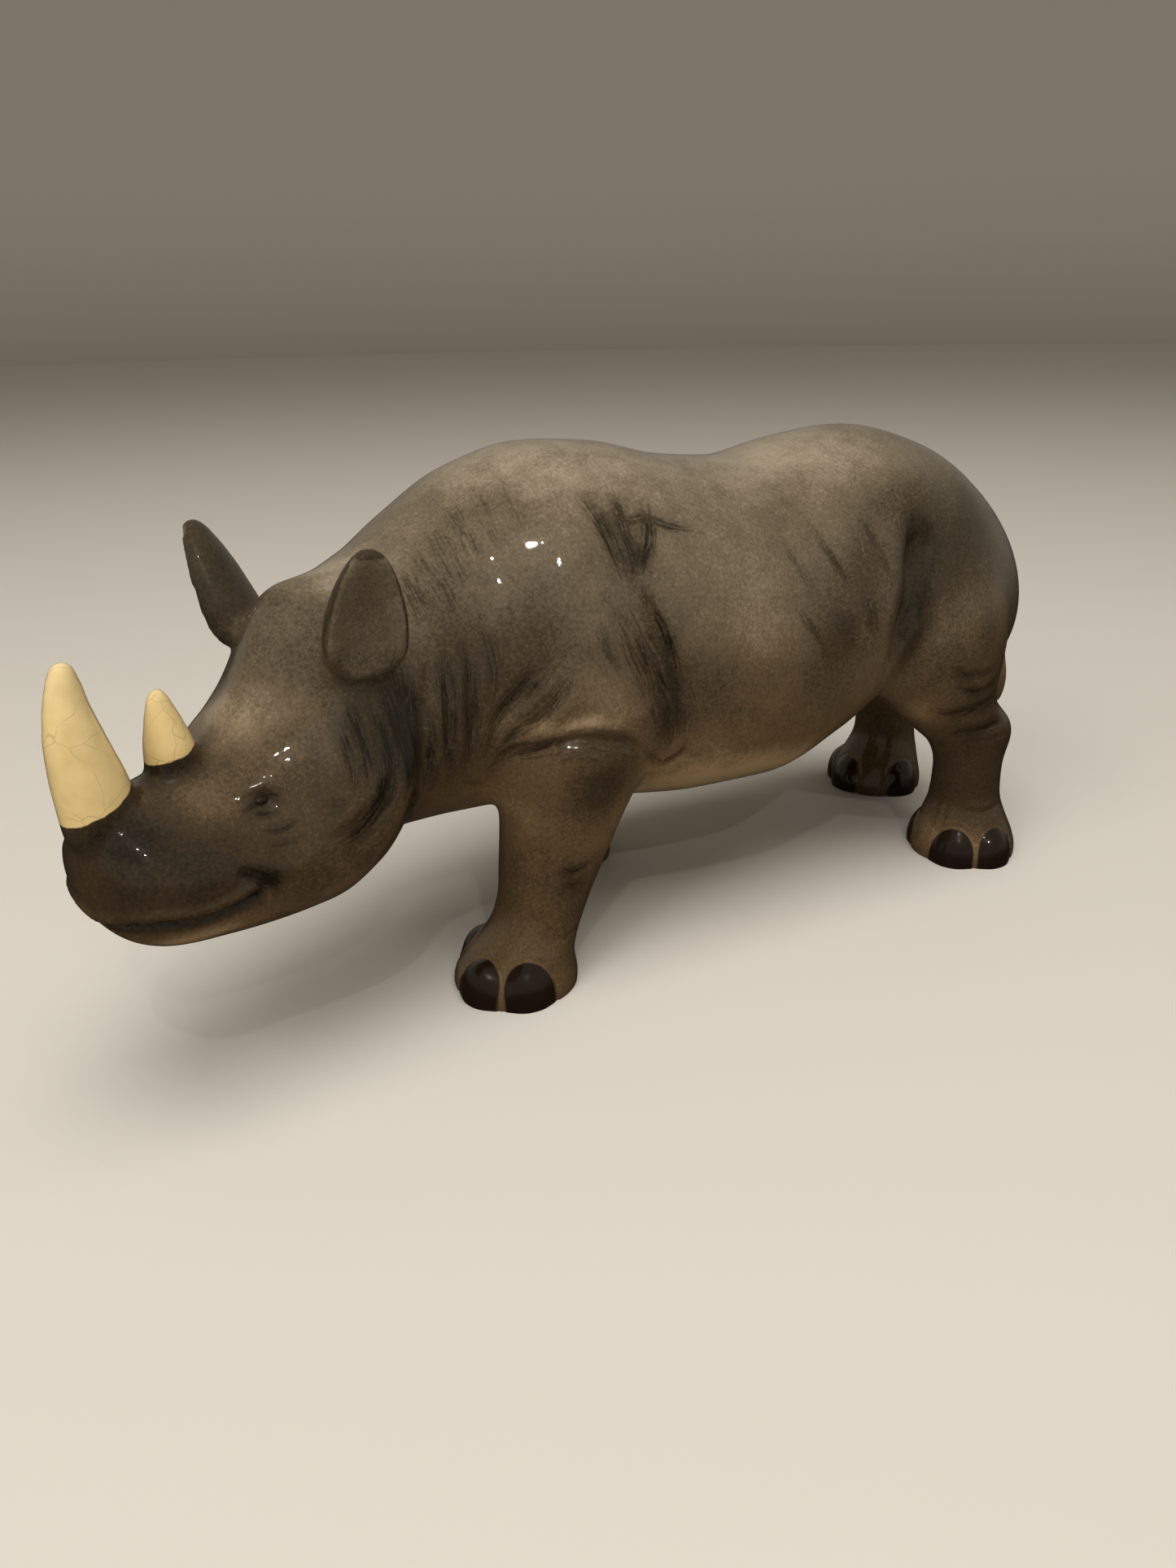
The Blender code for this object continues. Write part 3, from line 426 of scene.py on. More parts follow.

# Brushed lines on both flanks, some of them painted shade where marked: points (spine distance,
# height), half width, amount
BRUSHED_AND_PAINTED_SHADE = (
    (((6.4, 42.8), (6.0, 38.6), (5.8, 34.4)), 1.1, 0.36),
    (((8.6, 42.4), (7.0, 39.0), (6.6, 37.2), (6.2, 35.0)), 0.42, 0.95),
    (((5.6, 42.8), (5.7, 39.4), (5.4, 37.4), (5.9, 35.0)), 0.38, 1.0),
    (((2.8, 41.8), (3.7, 38.6), (4.9, 37.0), (5.8, 35.2)), 0.40, 0.9),
    (((7.6, 35.4), (5.6, 31.0), (4.0, 27.0), (2.8, 23.0), (2.8, 19.6)), 1.1, 0.5),
    (((9.0, 36.4), (7.2, 33.2), (5.2, 30.8), (3.8, 28.2), (2.8, 25.4), (2.4, 22.4), (2.8, 19.6)),
     0.42, 1.2),
    (((7.4, 36.2), (5.9, 33.2), (4.4, 30.4), (3.2, 27.6), (2.4, 24.6), (2.2, 21.4)), 0.36, 1.1),
    (((7.8, 32.6), (6.4, 29.2), (5.0, 26.6), (3.8, 24.0), (2.8, 21.4)), 0.45, 1.0),
    (((5.2, 36.2), (4.7, 33.4), (3.8, 31.4), (3.0, 29.0), (2.2, 25.8)), 0.38, 0.7),
    (((9.6, 33.4), (8.4, 30.4), (7.0, 28.0)), 0.35, 0.4),
    (((1.0, 22.6), (1.2, 20.6), (2.8, 19.2), (5.6, 21.6)), 0.26, 0.6),
    (((-22.7, 40.2), (-23.1, 36.0), (-22.8, 31.4), (-21.8, 27.4), (-20.0, 23.0)), 0.8, 0.8),
    (((-23.6, 38.6), (-24.9, 34.4), (-24.2, 30.0), (-23.0, 26.6)), 0.6, 0.6),
    # Painted shadow: the dark line in the gap behind the cheek
    (((29.4, 33.0), (29.9, 29.4), (30.3, 26.2), (30.6, 22.6), (30.2, 19.0)), 0.7, 0.7),
    (((27.9, 33.0), (28.2, 29.4), (28.5, 26.2), (28.6, 22.6), (28.4, 19.4)), 0.5, 0.4),
    (((26.0, 33.6), (26.4, 29.0), (26.8, 25.2), (26.8, 20.6)), 0.6, 0.5),
    (((24.0, 33.4), (24.4, 29.1), (24.8, 25.3), (25.1, 20.8)), 0.6, 0.42),
    (((22.2, 33.6), (22.2, 30.4), (22.9, 27.2)), 0.5, 0.3),
    (((14.5, 31.0), (19.4, 28.0), (22.6, 25.2), (23.9, 21.4)), 0.6, 0.45),
    (((12.5, 29.2), (17.2, 26.6), (20.9, 24.0), (22.8, 21.4)), 0.5, 0.45),
    (((10.8, 27.8), (15.4, 25.8), (19.4, 23.8)), 0.4, 0.3),
    # Painted shade under the skin fold that overhangs the fore leg, this line and the next
    (((25.0, 18.9), (22.0, 22.0), (17.6, 23.3), (12.6, 23.6), (8.2, 22.7), (5.6, 20.9), (4.0, 18.4)),
     0.6, 0.6),
    (((19.5, 21.6), (16.0, 22.4), (12.0, 22.5), (8.6, 21.4)), 0.45, 0.3),
    (((18.4, 42.2), (19.6, 39.6), (20.4, 36.6)), 0.7, 0.3),
    (((20.6, 41.4), (21.8, 38.6), (22.4, 35.2)), 0.7, 0.36),
    (((22.6, 40.6), (23.7, 37.6), (24.2, 34.0)), 0.7, 0.38),
    (((24.5, 39.6), (25.6, 36.8), (26.0, 33.6)), 0.7, 0.36),
    (((16.2, 43.0), (17.4, 40.6), (18.0, 37.8)), 0.6, 0.26),
    (((13.6, 43.8), (14.8, 41.4), (15.2, 39.0)), 0.5, 0.18),
    (((-8.6, 38.2), (-9.9, 35.6), (-10.8, 33.8), (-11.9, 31.6)), 0.22, 0.26),
    (((-12.2, 38.8), (-13.5, 36.0), (-14.4, 34.2), (-15.5, 31.6)), 0.22, 0.40),
    (((-17.2, 39.0), (-18.6, 35.8), (-19.4, 34.0), (-20.4, 31.6)), 0.22, 0.28),
    (((-8.6, 33.2), (-10.4, 30.2), (-11.8, 28.2), (-13.2, 25.8)), 0.24, 0.24),
    (((-13.6, 31.4), (-15.0, 29.0), (-15.8, 26.6)), 0.34, 0.4),
    (((-16.4, 33.0), (-17.4, 30.4), (-17.8, 27.6)), 0.34, 0.36),
    (((33.0, 30.8), (32.6, 28.0), (32.9, 25.6), (34.0, 23.2), (36.4, 21.5), (39.4, 20.8)), 0.6, 0.8),
    (((34.2, 30.6), (34.5, 26.6), (35.2, 23.4)), 0.4, 0.6),
    (((35.3, 29.8), (35.5, 26.4), (36.6, 23.2)), 0.35, 0.45),
    (((31.7, 31.4), (31.1, 28.4), (31.3, 25.4), (32.4, 21.8)), 0.5, 0.75),
    (((30.4, 31.6), (30.0, 28.4), (30.2, 25.0), (31.0, 21.6)), 0.45, 0.6),
    (((45.2, 20.8), (44.0, 20.2), (43.0, 19.3), (42.0, 18.1)), 0.34, 0.5),
    (((43.0, 23.9), (42.3, 24.25), (41.6, 24.6), (40.8, 24.75), (40.0, 24.5)), 0.2, 0.9),
    (((42.5, 23.8), (41.9, 23.65), (41.2, 23.6), (40.4, 23.8)), 0.16, 0.5),
    (((8.4, 40.6), (5.6, 39.7), (3.5, 39.9), (1.6, 39.1), (-2.4, 38.3)), 0.24, 0.9),
    (((42.6, 22.7), (41.1, 22.4), (39.6, 23.0)), 0.3, 0.35),
    (((42.8, 21.9), (41.4, 21.5), (40.0, 21.7)), 0.3, 0.25),
    (((38.8, 23.6), (37.4, 23.4), (36.2, 24.2)), 0.4, 0.25),
    (((-25.8, 19.6), (-29.4, 18.2), (-32.8, 18.6), (-37.0, 19.3)), 0.5, 0.45),
    (((-29.4, 16.0), (-33.4, 15.6), (-38.4, 16.2)), 0.5, 0.4),
    (((-27.8, 21.8), (-31.6, 20.4), (-36.0, 21.0)), 0.4, 0.35),
    (((-26.6, 24.0), (-30.2, 22.3), (-34.4, 22.8)), 0.4, 0.28),
    (((17.4, 12.4), (14.2, 11.5), (11.0, 11.9)), 0.4, 0.35),
    (((17.0, 10.9), (14.2, 10.0), (11.2, 10.5)), 0.4, 0.3),
)

# The brush: the dark line along the mouth, and how far a line's ink reaches and spreads, in
# half widths
SHADE_BY_MOUTH = 1.3
MOUTH_SHADE_WIDTH = 0.36
MOUTH_SHADE_REACH = 2.0
BRUSH_REACH = 3.2
BRUSH_SPREAD = 1.5

# Which points belong to an ear: distance from its axis, share of the way up, weight of its ends
EAR_REACH = 4.6
EAR_TOP = 1.2
EAR_ENDS = 2.2

# Sole faces: below this height and facing down at least this squarely
SOLE_HEIGHT = 0.01
SOLE_FACING = -0.9

# Tone: the bare body colour's, and what head, haunch, ears and the ears' hollows add or take;
# each fade gives where it begins and where it is full
BODY_TONE = 0.60
HEAD_SHADE = 0.18
HEAD_FADE = (25.0 / LENGTH_STEPS, 33.0 / LENGTH_STEPS)
HAUNCH_SHADE = 0.12
HAUNCH_FADE = (-19.0 / LENGTH_STEPS, -26.0 / LENGTH_STEPS)
EAR_SHADE = 0.18
EAR_FADE = (0.0, 0.2)
DISH_LIGHT = -0.38
DISH_FADE = (0.10, 0.20)

# Washes are worn by the cloud and brushed lines into streaks: where the wear begins and ends,
# the least share left and the rest; then a streak's fineness across and along its line
WASH_WORN = (0.1, 0.75)
WASH_LEAST = 0.6
WASH_REST = 0.5
STREAK_WORN = (0.36, 0.70)
STREAK_LEAST = 0.18
STREAK_REST = 1.05
STREAK_FINE = 4.4
STREAK_LONG = 0.30
STREAK_AMOUNT = 0.9

# Grains: repeats in a metre (a streak's in a step), detail, roughness and distortion
MOTTLE = (55.0, 4.0, 0.55)
CLOUD = (190.0, 3.0, 0.6)
SPECKLE = (1500.0, 3.0, 0.7, 0.6)
STREAKS = (1.0, 3.0, 0.65, 0.5)
CRAZED_PATCHES = (38.0, 2.0)
CRACK_BREAKS = (150.0, 1.0)
GLAZE_WAVES = (420.0, 2.0)
SOIL = (320.0, 4.0, 0.6)
EYE_GRAIN = (900.0,)
MOTTLE_AMOUNT = 0.30
CLOUD_AMOUNT = 0.24
SPECKLE_AMOUNT = 0.66

# Paint: colours by tone from dark to light, turning from brown below to grey above; the grey
# above is partly the glaze's own colour and partly a painted reflection of the pale room
BROWNS = (
    (0.0, (0.010, 0.008, 0.005)),
    (0.35, (0.054, 0.035, 0.017)),
    (0.65, (0.140, 0.088, 0.042)),
    (1.0, (0.330, 0.230, 0.120)),
)
GREYS_AND_REFLECTION = (
    (0.0, (0.010, 0.008, 0.005)),
    (0.35, (0.054, 0.040, 0.023)),
    (0.65, (0.148, 0.116, 0.078)),
    (1.0, (0.330, 0.275, 0.202)),
)
GREY_REFLECTION_FADE = (18.0 / LENGTH_STEPS, 36.0 / LENGTH_STEPS)
HORN_LOW = (0.78, 0.60, 0.28)
HORN_HIGH = (1.0, 0.93, 0.70)
HORN_STAIN = (0.50, 0.34, 0.13)
HORN_CRACK = (0.42, 0.30, 0.14)
NAIL_DARK = (0.006, 0.004, 0.003)
NAIL_BROWN = (0.018, 0.009, 0.006)
EYE_DARK = (0.006, 0.005, 0.004)
EYE_BROWN = (0.02, 0.014, 0.010)
CRAZE_PALE = (0.34, 0.28, 0.19)
CLAY = (0.56, 0.48, 0.36)
CLAY_SOILED = (0.36, 0.29, 0.20)

# Horns pale over these steps above their border, which sways with the cloud, and stains and
# cracks take a share of the cream; a nail's border is sharp
HORN_FADE = (0.0, 9.0)
HORN_SWAY = 0.5
HORN_BORDER = (-0.04, 0.08)
NAIL_BORDER = (-0.01, 0.02)
STAIN_FADE = (0.35, 0.8)
STAIN_SHARE = 0.35
HORN_CRACK_SHARE = 0.5

# Glaze: roughness under and on the clear coat, depth of its waves in metres under and on it, and
# the share of waves, speckle and cracks in them
GLAZE_ROUGHNESS = 0.32
COAT_ROUGHNESS = 0.03
COAT_IOR = 1.5
UNDERCOAT_GLOSS = 0.15
GLAZE_RELIEF = 0.0001
COAT_RELIEF = 0.000035
RELIEF_STRENGTH = 0.5
WAVE_SHARE = 0.6
SPECKLE_SHARE = 0.3
CRACK_SHARE = 0.5
CLAY_ROUGHNESS = 0.85
CLAY_RELIEF = 0.0002
CLAY_STRENGTH = 0.4

# Crazing: cells and line in metres, the noise that moves the cells (repeats in a cell, detail)
# and how far it moves them in cells, where patches and breaks begin and end, and how high it starts
CRAZE_CELL = 0.0085
HORN_CRAZE_CELL = 0.0075
CRAZE_LINE = 0.00013
CRAZE_WANDER = (0.6, 3.0)
CRAZE_SWAY = 1.1
PATCH_FADE = (0.5, 0.62)
BREAK_FADE = (0.42, 0.52)
CRAZE_FADE = (16.0 / LENGTH_STEPS, 22.0 / LENGTH_STEPS)
CRAZE_STRENGTH = 0.18

# Studio: lamps as name, azimuth, elevation, distance, size, watts, colour and whether they
# show in the glaze
LAMP_AIM = Vector((0.0, 0.0, 0.06))
LAMPS = (
    ("overhead", 80.0, 74.0, 1.3, 1.0, 14.0, (1.0, 0.95, 0.87), False),
    ("front", 20.0, 40.0, 1.5, 0.8, 8.0, (1.0, 0.95, 0.87), False),
    ("upper bulb", 66.0, 51.0, 1.2, 0.018, 0.8, (1.0, 0.93, 0.82), True),
    ("lower bulb", 76.0, 40.0, 1.2, 0.018, 0.8, (1.0, 0.93, 0.82), True),
)
SURROUND_ABOVE = (0.80, 0.71, 0.56)
SURROUND_BELOW = (0.08, 0.06, 0.04)
SURROUND_FADE = (-0.25, 0.1)
SURROUND_STRENGTH = 0.25
FLOOR_RADIUS = 4.0
FLOOR_SIDES = 96
FLOOR_COLOUR = (0.66, 0.64, 0.61)
FLOOR_ROUGHNESS = 0.6

# The photograph's viewpoint: turn from the animal's left and dip in degrees, roll as its sine,
# place in steps, and focal length in the pixels of a picture 1927 high
PHOTO_HEIGHT = 1927
FOCAL_PIXELS = 1336
SENSOR = 36.0
CAMERA_TURN = 26.6
CAMERA_DIP = 23.66
CAMERA_ROLL = 0.02
CAMERA_PLACE = (47.48, 87.43, 55.4)


def smooth_values(places, values, wanted):
    """Read a smooth curve without overshoot through values at rising places."""
    places = np.asarray(places, float)
    values = np.asarray(values, float)
    gaps = np.diff(places)
    slopes = np.diff(values) / gaps
    tangents = np.zeros_like(values)
    tangents[0] = slopes[0]
    tangents[-1] = slopes[-1]
    for i in range(1, len(values) - 1):
        if slopes[i - 1] * slopes[i] > 0:
            w1 = 2 * gaps[i] + gaps[i - 1]
            w2 = gaps[i] + 2 * gaps[i - 1]
            tangents[i] = (w1 + w2) / (w1 / slopes[i - 1] + w2 / slopes[i])
    cell = np.clip(np.searchsorted(places, wanted) - 1, 0, len(gaps) - 1)
    t = (wanted - places[cell]) / gaps[cell]
    a = values[cell]
    b = values[cell + 1]
    ta = tangents[cell] * gaps[cell]
    tb = tangents[cell + 1] * gaps[cell]
    return (a * (1 + 2 * t) * (1 - t) ** 2 + ta * t * (1 - t) ** 2
            + b * t * t * (3 - 2 * t) + tb * t * t * (t - 1))


def spread_rows(rows, spacing):
    """Fill in rows so that they stand about one spacing apart."""
    rows = np.array(rows)
    runs = np.linalg.norm(np.diff(rows[:, :3], axis=0), axis=1)
    along = np.concatenate(([0.0], np.cumsum(runs)))
    count = max(int(round(along[-1] / spacing)), 2)
    wanted = np.linspace(0.0, along[-1], count + 1)
    return np.stack([smooth_values(along, column, wanted) for column in rows.T], axis=1)


def spine_table():
    """The spine's path in plan, as distance, x, y and heading."""
    distance = np.linspace(-SPINE_REACH, SPINE_REACH, SPINE_POINTS)
    turned = np.clip((distance - TURN_START) / (TURN_END - TURN_START), 0.0, 1.0)
    heading = HEAD_TURN * turned * turned * (3 - 2 * turned)
    pace = distance[1] - distance[0]
    x = np.cumsum(np.cos(heading)) * pace
    y = np.cumsum(np.sin(heading)) * pace
    return distance, x - np.interp(0.0, distance, x), y, heading


SPINE = spine_table()


def on_spine(distance, side, height):
    """A point given by its distance along the spine, its distance to the left and its height."""
    x, y, heading = (np.interp(distance, SPINE[0], column) for column in SPINE[1:])
    return np.array((x - side * np.sin(heading), y + side * np.cos(heading), height))


def oval(above, below=None):
    """A unit superellipse with its own fullness above and below the widest line."""
    angles = np.arange(RING_SIDES) * 2 * math.pi / RING_SIDES
    c = np.cos(angles)
    s = np.sin(angles)
    power = np.where(s > 0, 2.0 / above, 2.0 / (below or above))
    return np.sign(c) * np.abs(c) ** power, np.sign(s) * np.abs(s) ** power


def trunk_rings():
    """Upright rings across the spine from the rump to the muzzle."""
    rings = []
    for distance, top, bottom, width, widest, above, below in spread_rows(TRUNK, RING_SPACING):
        across, up = oval(above, below)
        middle = bottom + (top - bottom) * widest
        height = middle + np.where(up > 0, (top - middle) * up, (middle - bottom) * up)
        rings.append([on_spine(distance, a * width, h) for a, h in zip(across, height)])
    return rings


def leg_rings(rows):
    """Level rings from below the sole up into the trunk."""
    across, along = oval(LEG_FULLNESS)
    rings = []
    for height, x, y, length, width in spread_rows(rows, RING_SPACING):
        rings.append([(x + b * length, y + a * width, height) for a, b in zip(across, along)])
    return rings


def horn_rings(rows):
    """Level rings of a horn on the head's middle plane."""
    across, along = oval(ROUND)
    rings = []
    for distance, height, length, width in rows:
        rings.append([on_spine(distance + b * length, a * width, height)
                      for a, b in zip(across, along)])
    return rings


def tail_rings():
    """Level rings of the tail from its root down to its tuft."""
    across, along = oval(ROUND)
    rings = []
    for x, y, height, radius in spread_rows(TAIL, RING_SPACING):
        rings.append([(x + b * radius, y + a * radius, height) for a, b in zip(across, along)])
    return rings


def ear_frame(side):
    """One ear's base, the way from there to its tip, and the level way that its hollow looks."""
    base = on_spine(EAR_BASE[0], side * EAR_BASE[1], EAR_BASE[2])
    tip = on_spine(EAR_TIP[0], side * EAR_TIP[1], EAR_TIP[2])
    facing = HEAD_TURN + side * EAR_FACING
    return base, tip - base, np.array((math.cos(facing), math.sin(facing), 0.0))


def ear_rings(side):
    """Rings of one ear, leaning forwards and hollowed on the face that looks ahead and outwards."""
    base, rise, front = ear_frame(side)
    upward = rise / np.linalg.norm(rise)
    front -= upward * front.dot(upward)
    front /= np.linalg.norm(front)
    wide = np.cross(upward, front)
    across, depth = oval(EAR_FULLNESS)
    rings = []
    for share, half, back, dish in spread_rows(EAR_ROWS, EAR_SPACING):
        hollow = dish * np.clip(1 - np.abs(across / DISH_SHARE) ** DISH_POWER, 0.0, 1.0)
        out = np.where(depth < 0, depth * back, depth * back * EAR_RIM - hollow)
        out -= EAR_LEAN * (1 - share)
        rings.append([base + rise * share + wide * a * half + front * o
                      for a, o in zip(across, out)])
    return rings


def add_skin(bm, rings):
    """Bridge a row of rings into one closed shell."""
    edges_before = None
    for number, ring in enumerate(rings):
        made = bmesh.ops.create_circle(bm, segments=RING_SIDES, radius=1.0)["verts"]
        for vert, place in zip(made, ring):
            vert.co = place
        edges = list({edge for vert in made for edge in vert.link_edges})
        if edges_before is not None:
            bmesh.ops.bridge_loops(bm, edges=edges_before + edges)
        if number in (0, len(rings) - 1):
            bmesh.ops.contextual_create(bm, geom=edges)
        edges_before = edges


def add_ball(bm, centre, radii, turn=0.0):
    """Add an egg-shaped mass, turned about the upright axis."""
    place = Matrix.Translation(Vector(centre)) @ Matrix.Rotation(turn, 4, "Z")
    shape = place @ Matrix.Diagonal((*radii, 1.0))
    bmesh.ops.create_uvsphere(bm, u_segments=BALL_SIDES, v_segments=BALL_RINGS, radius=1.0,
                              matrix=shape)


def nail_places():
    """Centre and heading of each toe nail."""
    places = []
    for leg, heading in zip(LEGS, FOOT_HEADINGS):
        side = math.copysign(1.0, leg[1][2])
        for outwards in NAIL_TURNS:
            turn = math.radians(heading + side * outwards)
            x = leg[1][1] + NAIL_OUT * math.cos(turn)
            y = leg[1][2] + NAIL_OUT * math.sin(turn)
            places.append(((x, y, NAIL_HEIGHT), turn))
    return places


def rough_shells():
    """All the forms as overlapping closed shells in one mesh."""
    shells = [trunk_rings()]
    shells += [leg_rings(leg) for leg in LEGS]
    shells += [horn_rings(horn) for horn in (FRONT_HORN, REAR_HORN)]
    shells.append(tail_rings())
    shells += [ear_rings(side) for side in (-1, 1)]
    whole = bmesh.new()
    part = bpy.data.meshes.new("shell")
    for rings in shells:
        bm = bmesh.new()
        add_skin(bm, rings)
        bmesh.ops.recalc_face_normals(bm, faces=bm.faces)
        bm.to_mesh(part)
        bm.free()
        whole.from_mesh(part)
    for centre, turn in nail_places():
        add_ball(whole, centre, NAIL_SIZE, turn)
    mesh = bpy.data.meshes.new("rhinoceros skin")
    whole.to_mesh(mesh)
    whole.free()
    return mesh


def put_in_scene(name, data):
    """A new object of a mesh, lamp or camera, added to the scene."""
    obj = bpy.data.objects.new(name, data)
    bpy.context.scene.collection.objects.link(obj)
    return obj


def evaluated(obj):
    """The object's mesh with its modifiers applied."""
    graph = bpy.context.evaluated_depsgraph_get()
    return bpy.data.meshes.new_from_object(obj.evaluated_get(graph))


def fuse(obj, voxel):
    """Fuse the shells into one skin of even squares."""
    remesh = obj.modifiers.new("fuse", "REMESH")
    remesh.mode = "VOXEL"
    remesh.voxel_size = voxel
    mesh = evaluated(obj)
    obj.modifiers.remove(remesh)
    obj.data = mesh


def mesh_arrays(mesh):
    """The mesh's points and normals as arrays."""
    points = np.empty(len(mesh.vertices) * 3)
    normals = np.empty(len(mesh.vertices) * 3)
    mesh.vertices.foreach_get("co", points)
    mesh.vertices.foreach_get("normal", normals)
    return points.reshape(-1, 3), normals.reshape(-1, 3)


def move_points(mesh, points):
    """Write the points back to the mesh."""
    mesh.vertices.foreach_set("co", points.ravel())
    mesh.update()


def soften(mesh):
    """Take the steps out of the fused skin and let the legs flow into the trunk."""
    bm = bmesh.new()
    bm.from_mesh(mesh)
    near_legs = set()
    for leg in LEGS:
        rows = np.array(leg)
        x = np.interp(BLEND_HEIGHT, rows[:, 0], rows[:, 1])
        y = np.interp(BLEND_HEIGHT, rows[:, 0], rows[:, 2])
        middle = Vector((x, y, BLEND_HEIGHT))
        near_legs.update(v for v in bm.verts if (v.co - middle).length < BLEND_REACH)
    for verts, rounds in ((list(near_legs), BLEND_ROUNDS), (bm.verts, SOFTEN_ROUNDS)):
        for _ in range(rounds):
            bmesh.ops.smooth_vert(bm, verts=verts, factor=SOFTEN_SHARE,
                                  use_axis_x=True, use_axis_y=True, use_axis_z=True)
    bm.to_mesh(mesh)
    bm.free()


def skin_tree(mesh):
    """The skin as it stands, ready for casting rays at it."""
    points = [vert.co.copy() for vert in mesh.vertices]
    return BVHTree.FromPolygons(points, [face.vertices[:] for face in mesh.polygons])


def on_skin(tree, distance, height, side):
    """The place on the skin seen squarely from one side of the spine."""
    start = Vector(on_spine(distance, side * LENGTH_STEPS, height))
    aim = Vector(on_spine(distance, 0.0, height)) - start
    return tree.ray_cast(start, aim.normalized())[0]


def flank_path(tree, points, side):
    """A smooth line on one flank through a line's points."""
    rows = np.array(points, float)
    padded = np.concatenate((rows, np.zeros((len(rows), 1))), axis=1)
    places = [on_skin(tree, distance, height, side)
              for distance, height, _ in spread_rows(padded, RING_SPACING)]
    return np.array([place for place in places if place is not None])


def mouth_path(tree):
    """The line of the closed mouth round the muzzle."""
    heading = np.interp(MUZZLE_PIVOT, SPINE[0], SPINE[3])
    path = []
    swings, heights = zip(*MOUTH)
    for degrees in range(int(swings[0]), int(swings[-1]) + 1, MOUTH_STEP):
        height = np.interp(degrees, swings, heights)
        pivot = Vector(on_spine(MUZZLE_PIVOT, 0.0, height))
        turn = heading + math.radians(degrees)
        outward = Vector((math.cos(turn), math.sin(turn), 0.0))
        path.append(tree.ray_cast(pivot + outward * LENGTH_STEPS, -outward)[0])
    return np.array(path)


def along_path(points, normals, path, reach, fading=FOLD_TAPER):
    """Points near a path, how far off they are, on which hand, and how far along they lie."""
    low = path.min(axis=0) - reach
    high = path.max(axis=0) + reach
    near = np.flatnonzero(np.all((points > low) & (points < high), axis=1))
    places = points[near]
    facing = normals[near]
    nearest = np.full(len(near), np.inf)
    signed = np.zeros(len(near))
    along = np.zeros(len(near))
    for i in range(len(path) - 1):
        run = path[i + 1] - path[i]
        share = np.clip((places - path[i]) @ run / run.dot(run), 0.0, 1.0)
        away = places - (path[i] + share[:, None] * run)
        gap = np.linalg.norm(away, axis=1)
        closer = gap < nearest
        turned = np.einsum("ij,ij->i", np.cross(facing[closer], run), away[closer])
        nearest[closer] = gap[closer]
        signed[closer] = np.sign(turned) * gap[closer]
        along[closer] = (i + share[closer]) / (len(path) - 1)
    ends = np.clip(along / fading, 0.0, 1.0) * np.clip((1 - along) / fading, 0.0, 1.0)
    length = np.linalg.norm(np.diff(path, axis=0), axis=1).sum()
    return near, nearest, signed, ends * ends * (3 - 2 * ends), along * length


def carve(points, normals, moves, path, width, depth, lip, fading=FOLD_TAPER):
    """Sink a groove along a path, with a lip on the side that the path's left looks to."""
    reach = LIP_REACH * width
    near, nearest, signed, taper, _ = along_path(points, normals, path, reach, fading)
    groove = -depth * np.exp(-(nearest / width) ** 2)
    ridge = lip * np.exp(-((signed - LIP_PLACE * width) / (LIP_WIDTH * width)) ** 2)
    moves[near] += normals[near] * (taper * (groove + ridge))[:, None]


def raise_swellings(mesh):
    """Raise the swellings and sink the hollows on both sides."""
    tree = skin_tree(mesh)
    points, normals = mesh_arrays(mesh)
    for distance, height, reach, rise in SWELLINGS:
        for side in (-1, 1):
            centre = np.array(on_skin(tree, distance, height, side))
            gap = np.linalg.norm(points - centre, axis=1)
            points += normals * (rise * np.exp(-(gap / reach) ** 2))[:, None]
    move_points(mesh, points)


def carve_folds(mesh, tree):
    """Carve the folds, the wrinkles and the mouth, and model the eyelids."""
    points, normals = mesh_arrays(mesh)
    moves = np.zeros_like(points)
    for line, width, depth, lip, right_share in FOLDS + WRINKLES:
        for side, share in ((1, 1.0), (-1, right_share)):
            path = flank_path(tree, line, side)
            carve(points, normals, moves, path, width, depth * share, lip * share * side)
    for line, width, depth in LIDS:
        for side in (-1, 1):
            carve(points, normals, moves, flank_path(tree, line, side), width, depth, 0.0)
    carve(points, normals, moves, mouth_path(tree), MOUTH_WIDTH, MOUTH_DEPTH, LIP_RISE, MOUTH_TAPER)
    for side in (-1, 1):
        eye = np.array(on_skin(tree, *EYE_PLACE, side))
        gap = np.linalg.norm(points - eye, axis=1)
        moves -= normals * (SOCKET_DEPTH * np.exp(-(gap / SOCKET_REACH) ** 2))[:, None]
    egg = nail_eggs(points)
    cuticle = CUTICLE_DEPTH * np.exp(-((egg - CUTICLE) / CUTICLE_WIDTH) ** 2)
    moves -= normals * cuticle[:, None]
    move_points(mesh, points + moves)


def nail_eggs(points):
    """How far each point lies out on the egg of the nearest nail, 1 being its shell."""
    nearest = np.full(len(points), np.inf)
    for centre, turn in nail_places():
        offset = points - np.array(centre)
        ahead = offset[:, 0] * math.cos(turn) + offset[:, 1] * math.sin(turn)
        across = offset[:, 1] * math.cos(turn) - offset[:, 0] * math.sin(turn)
        scaled = np.stack((ahead, across, offset[:, 2]), axis=1) / np.array(NAIL_SIZE)
        nearest = np.minimum(nearest, np.linalg.norm(scaled, axis=1))
    return nearest


def thin_out(obj, triangles):
    """Drop faces where the skin is nearly flat."""
    obj.data.calc_loop_triangles()
    thin = obj.modifiers.new("thin", "DECIMATE")
    thin.ratio = triangles / len(obj.data.loop_triangles)
    obj.data = evaluated(obj)
    obj.modifiers.remove(thin)


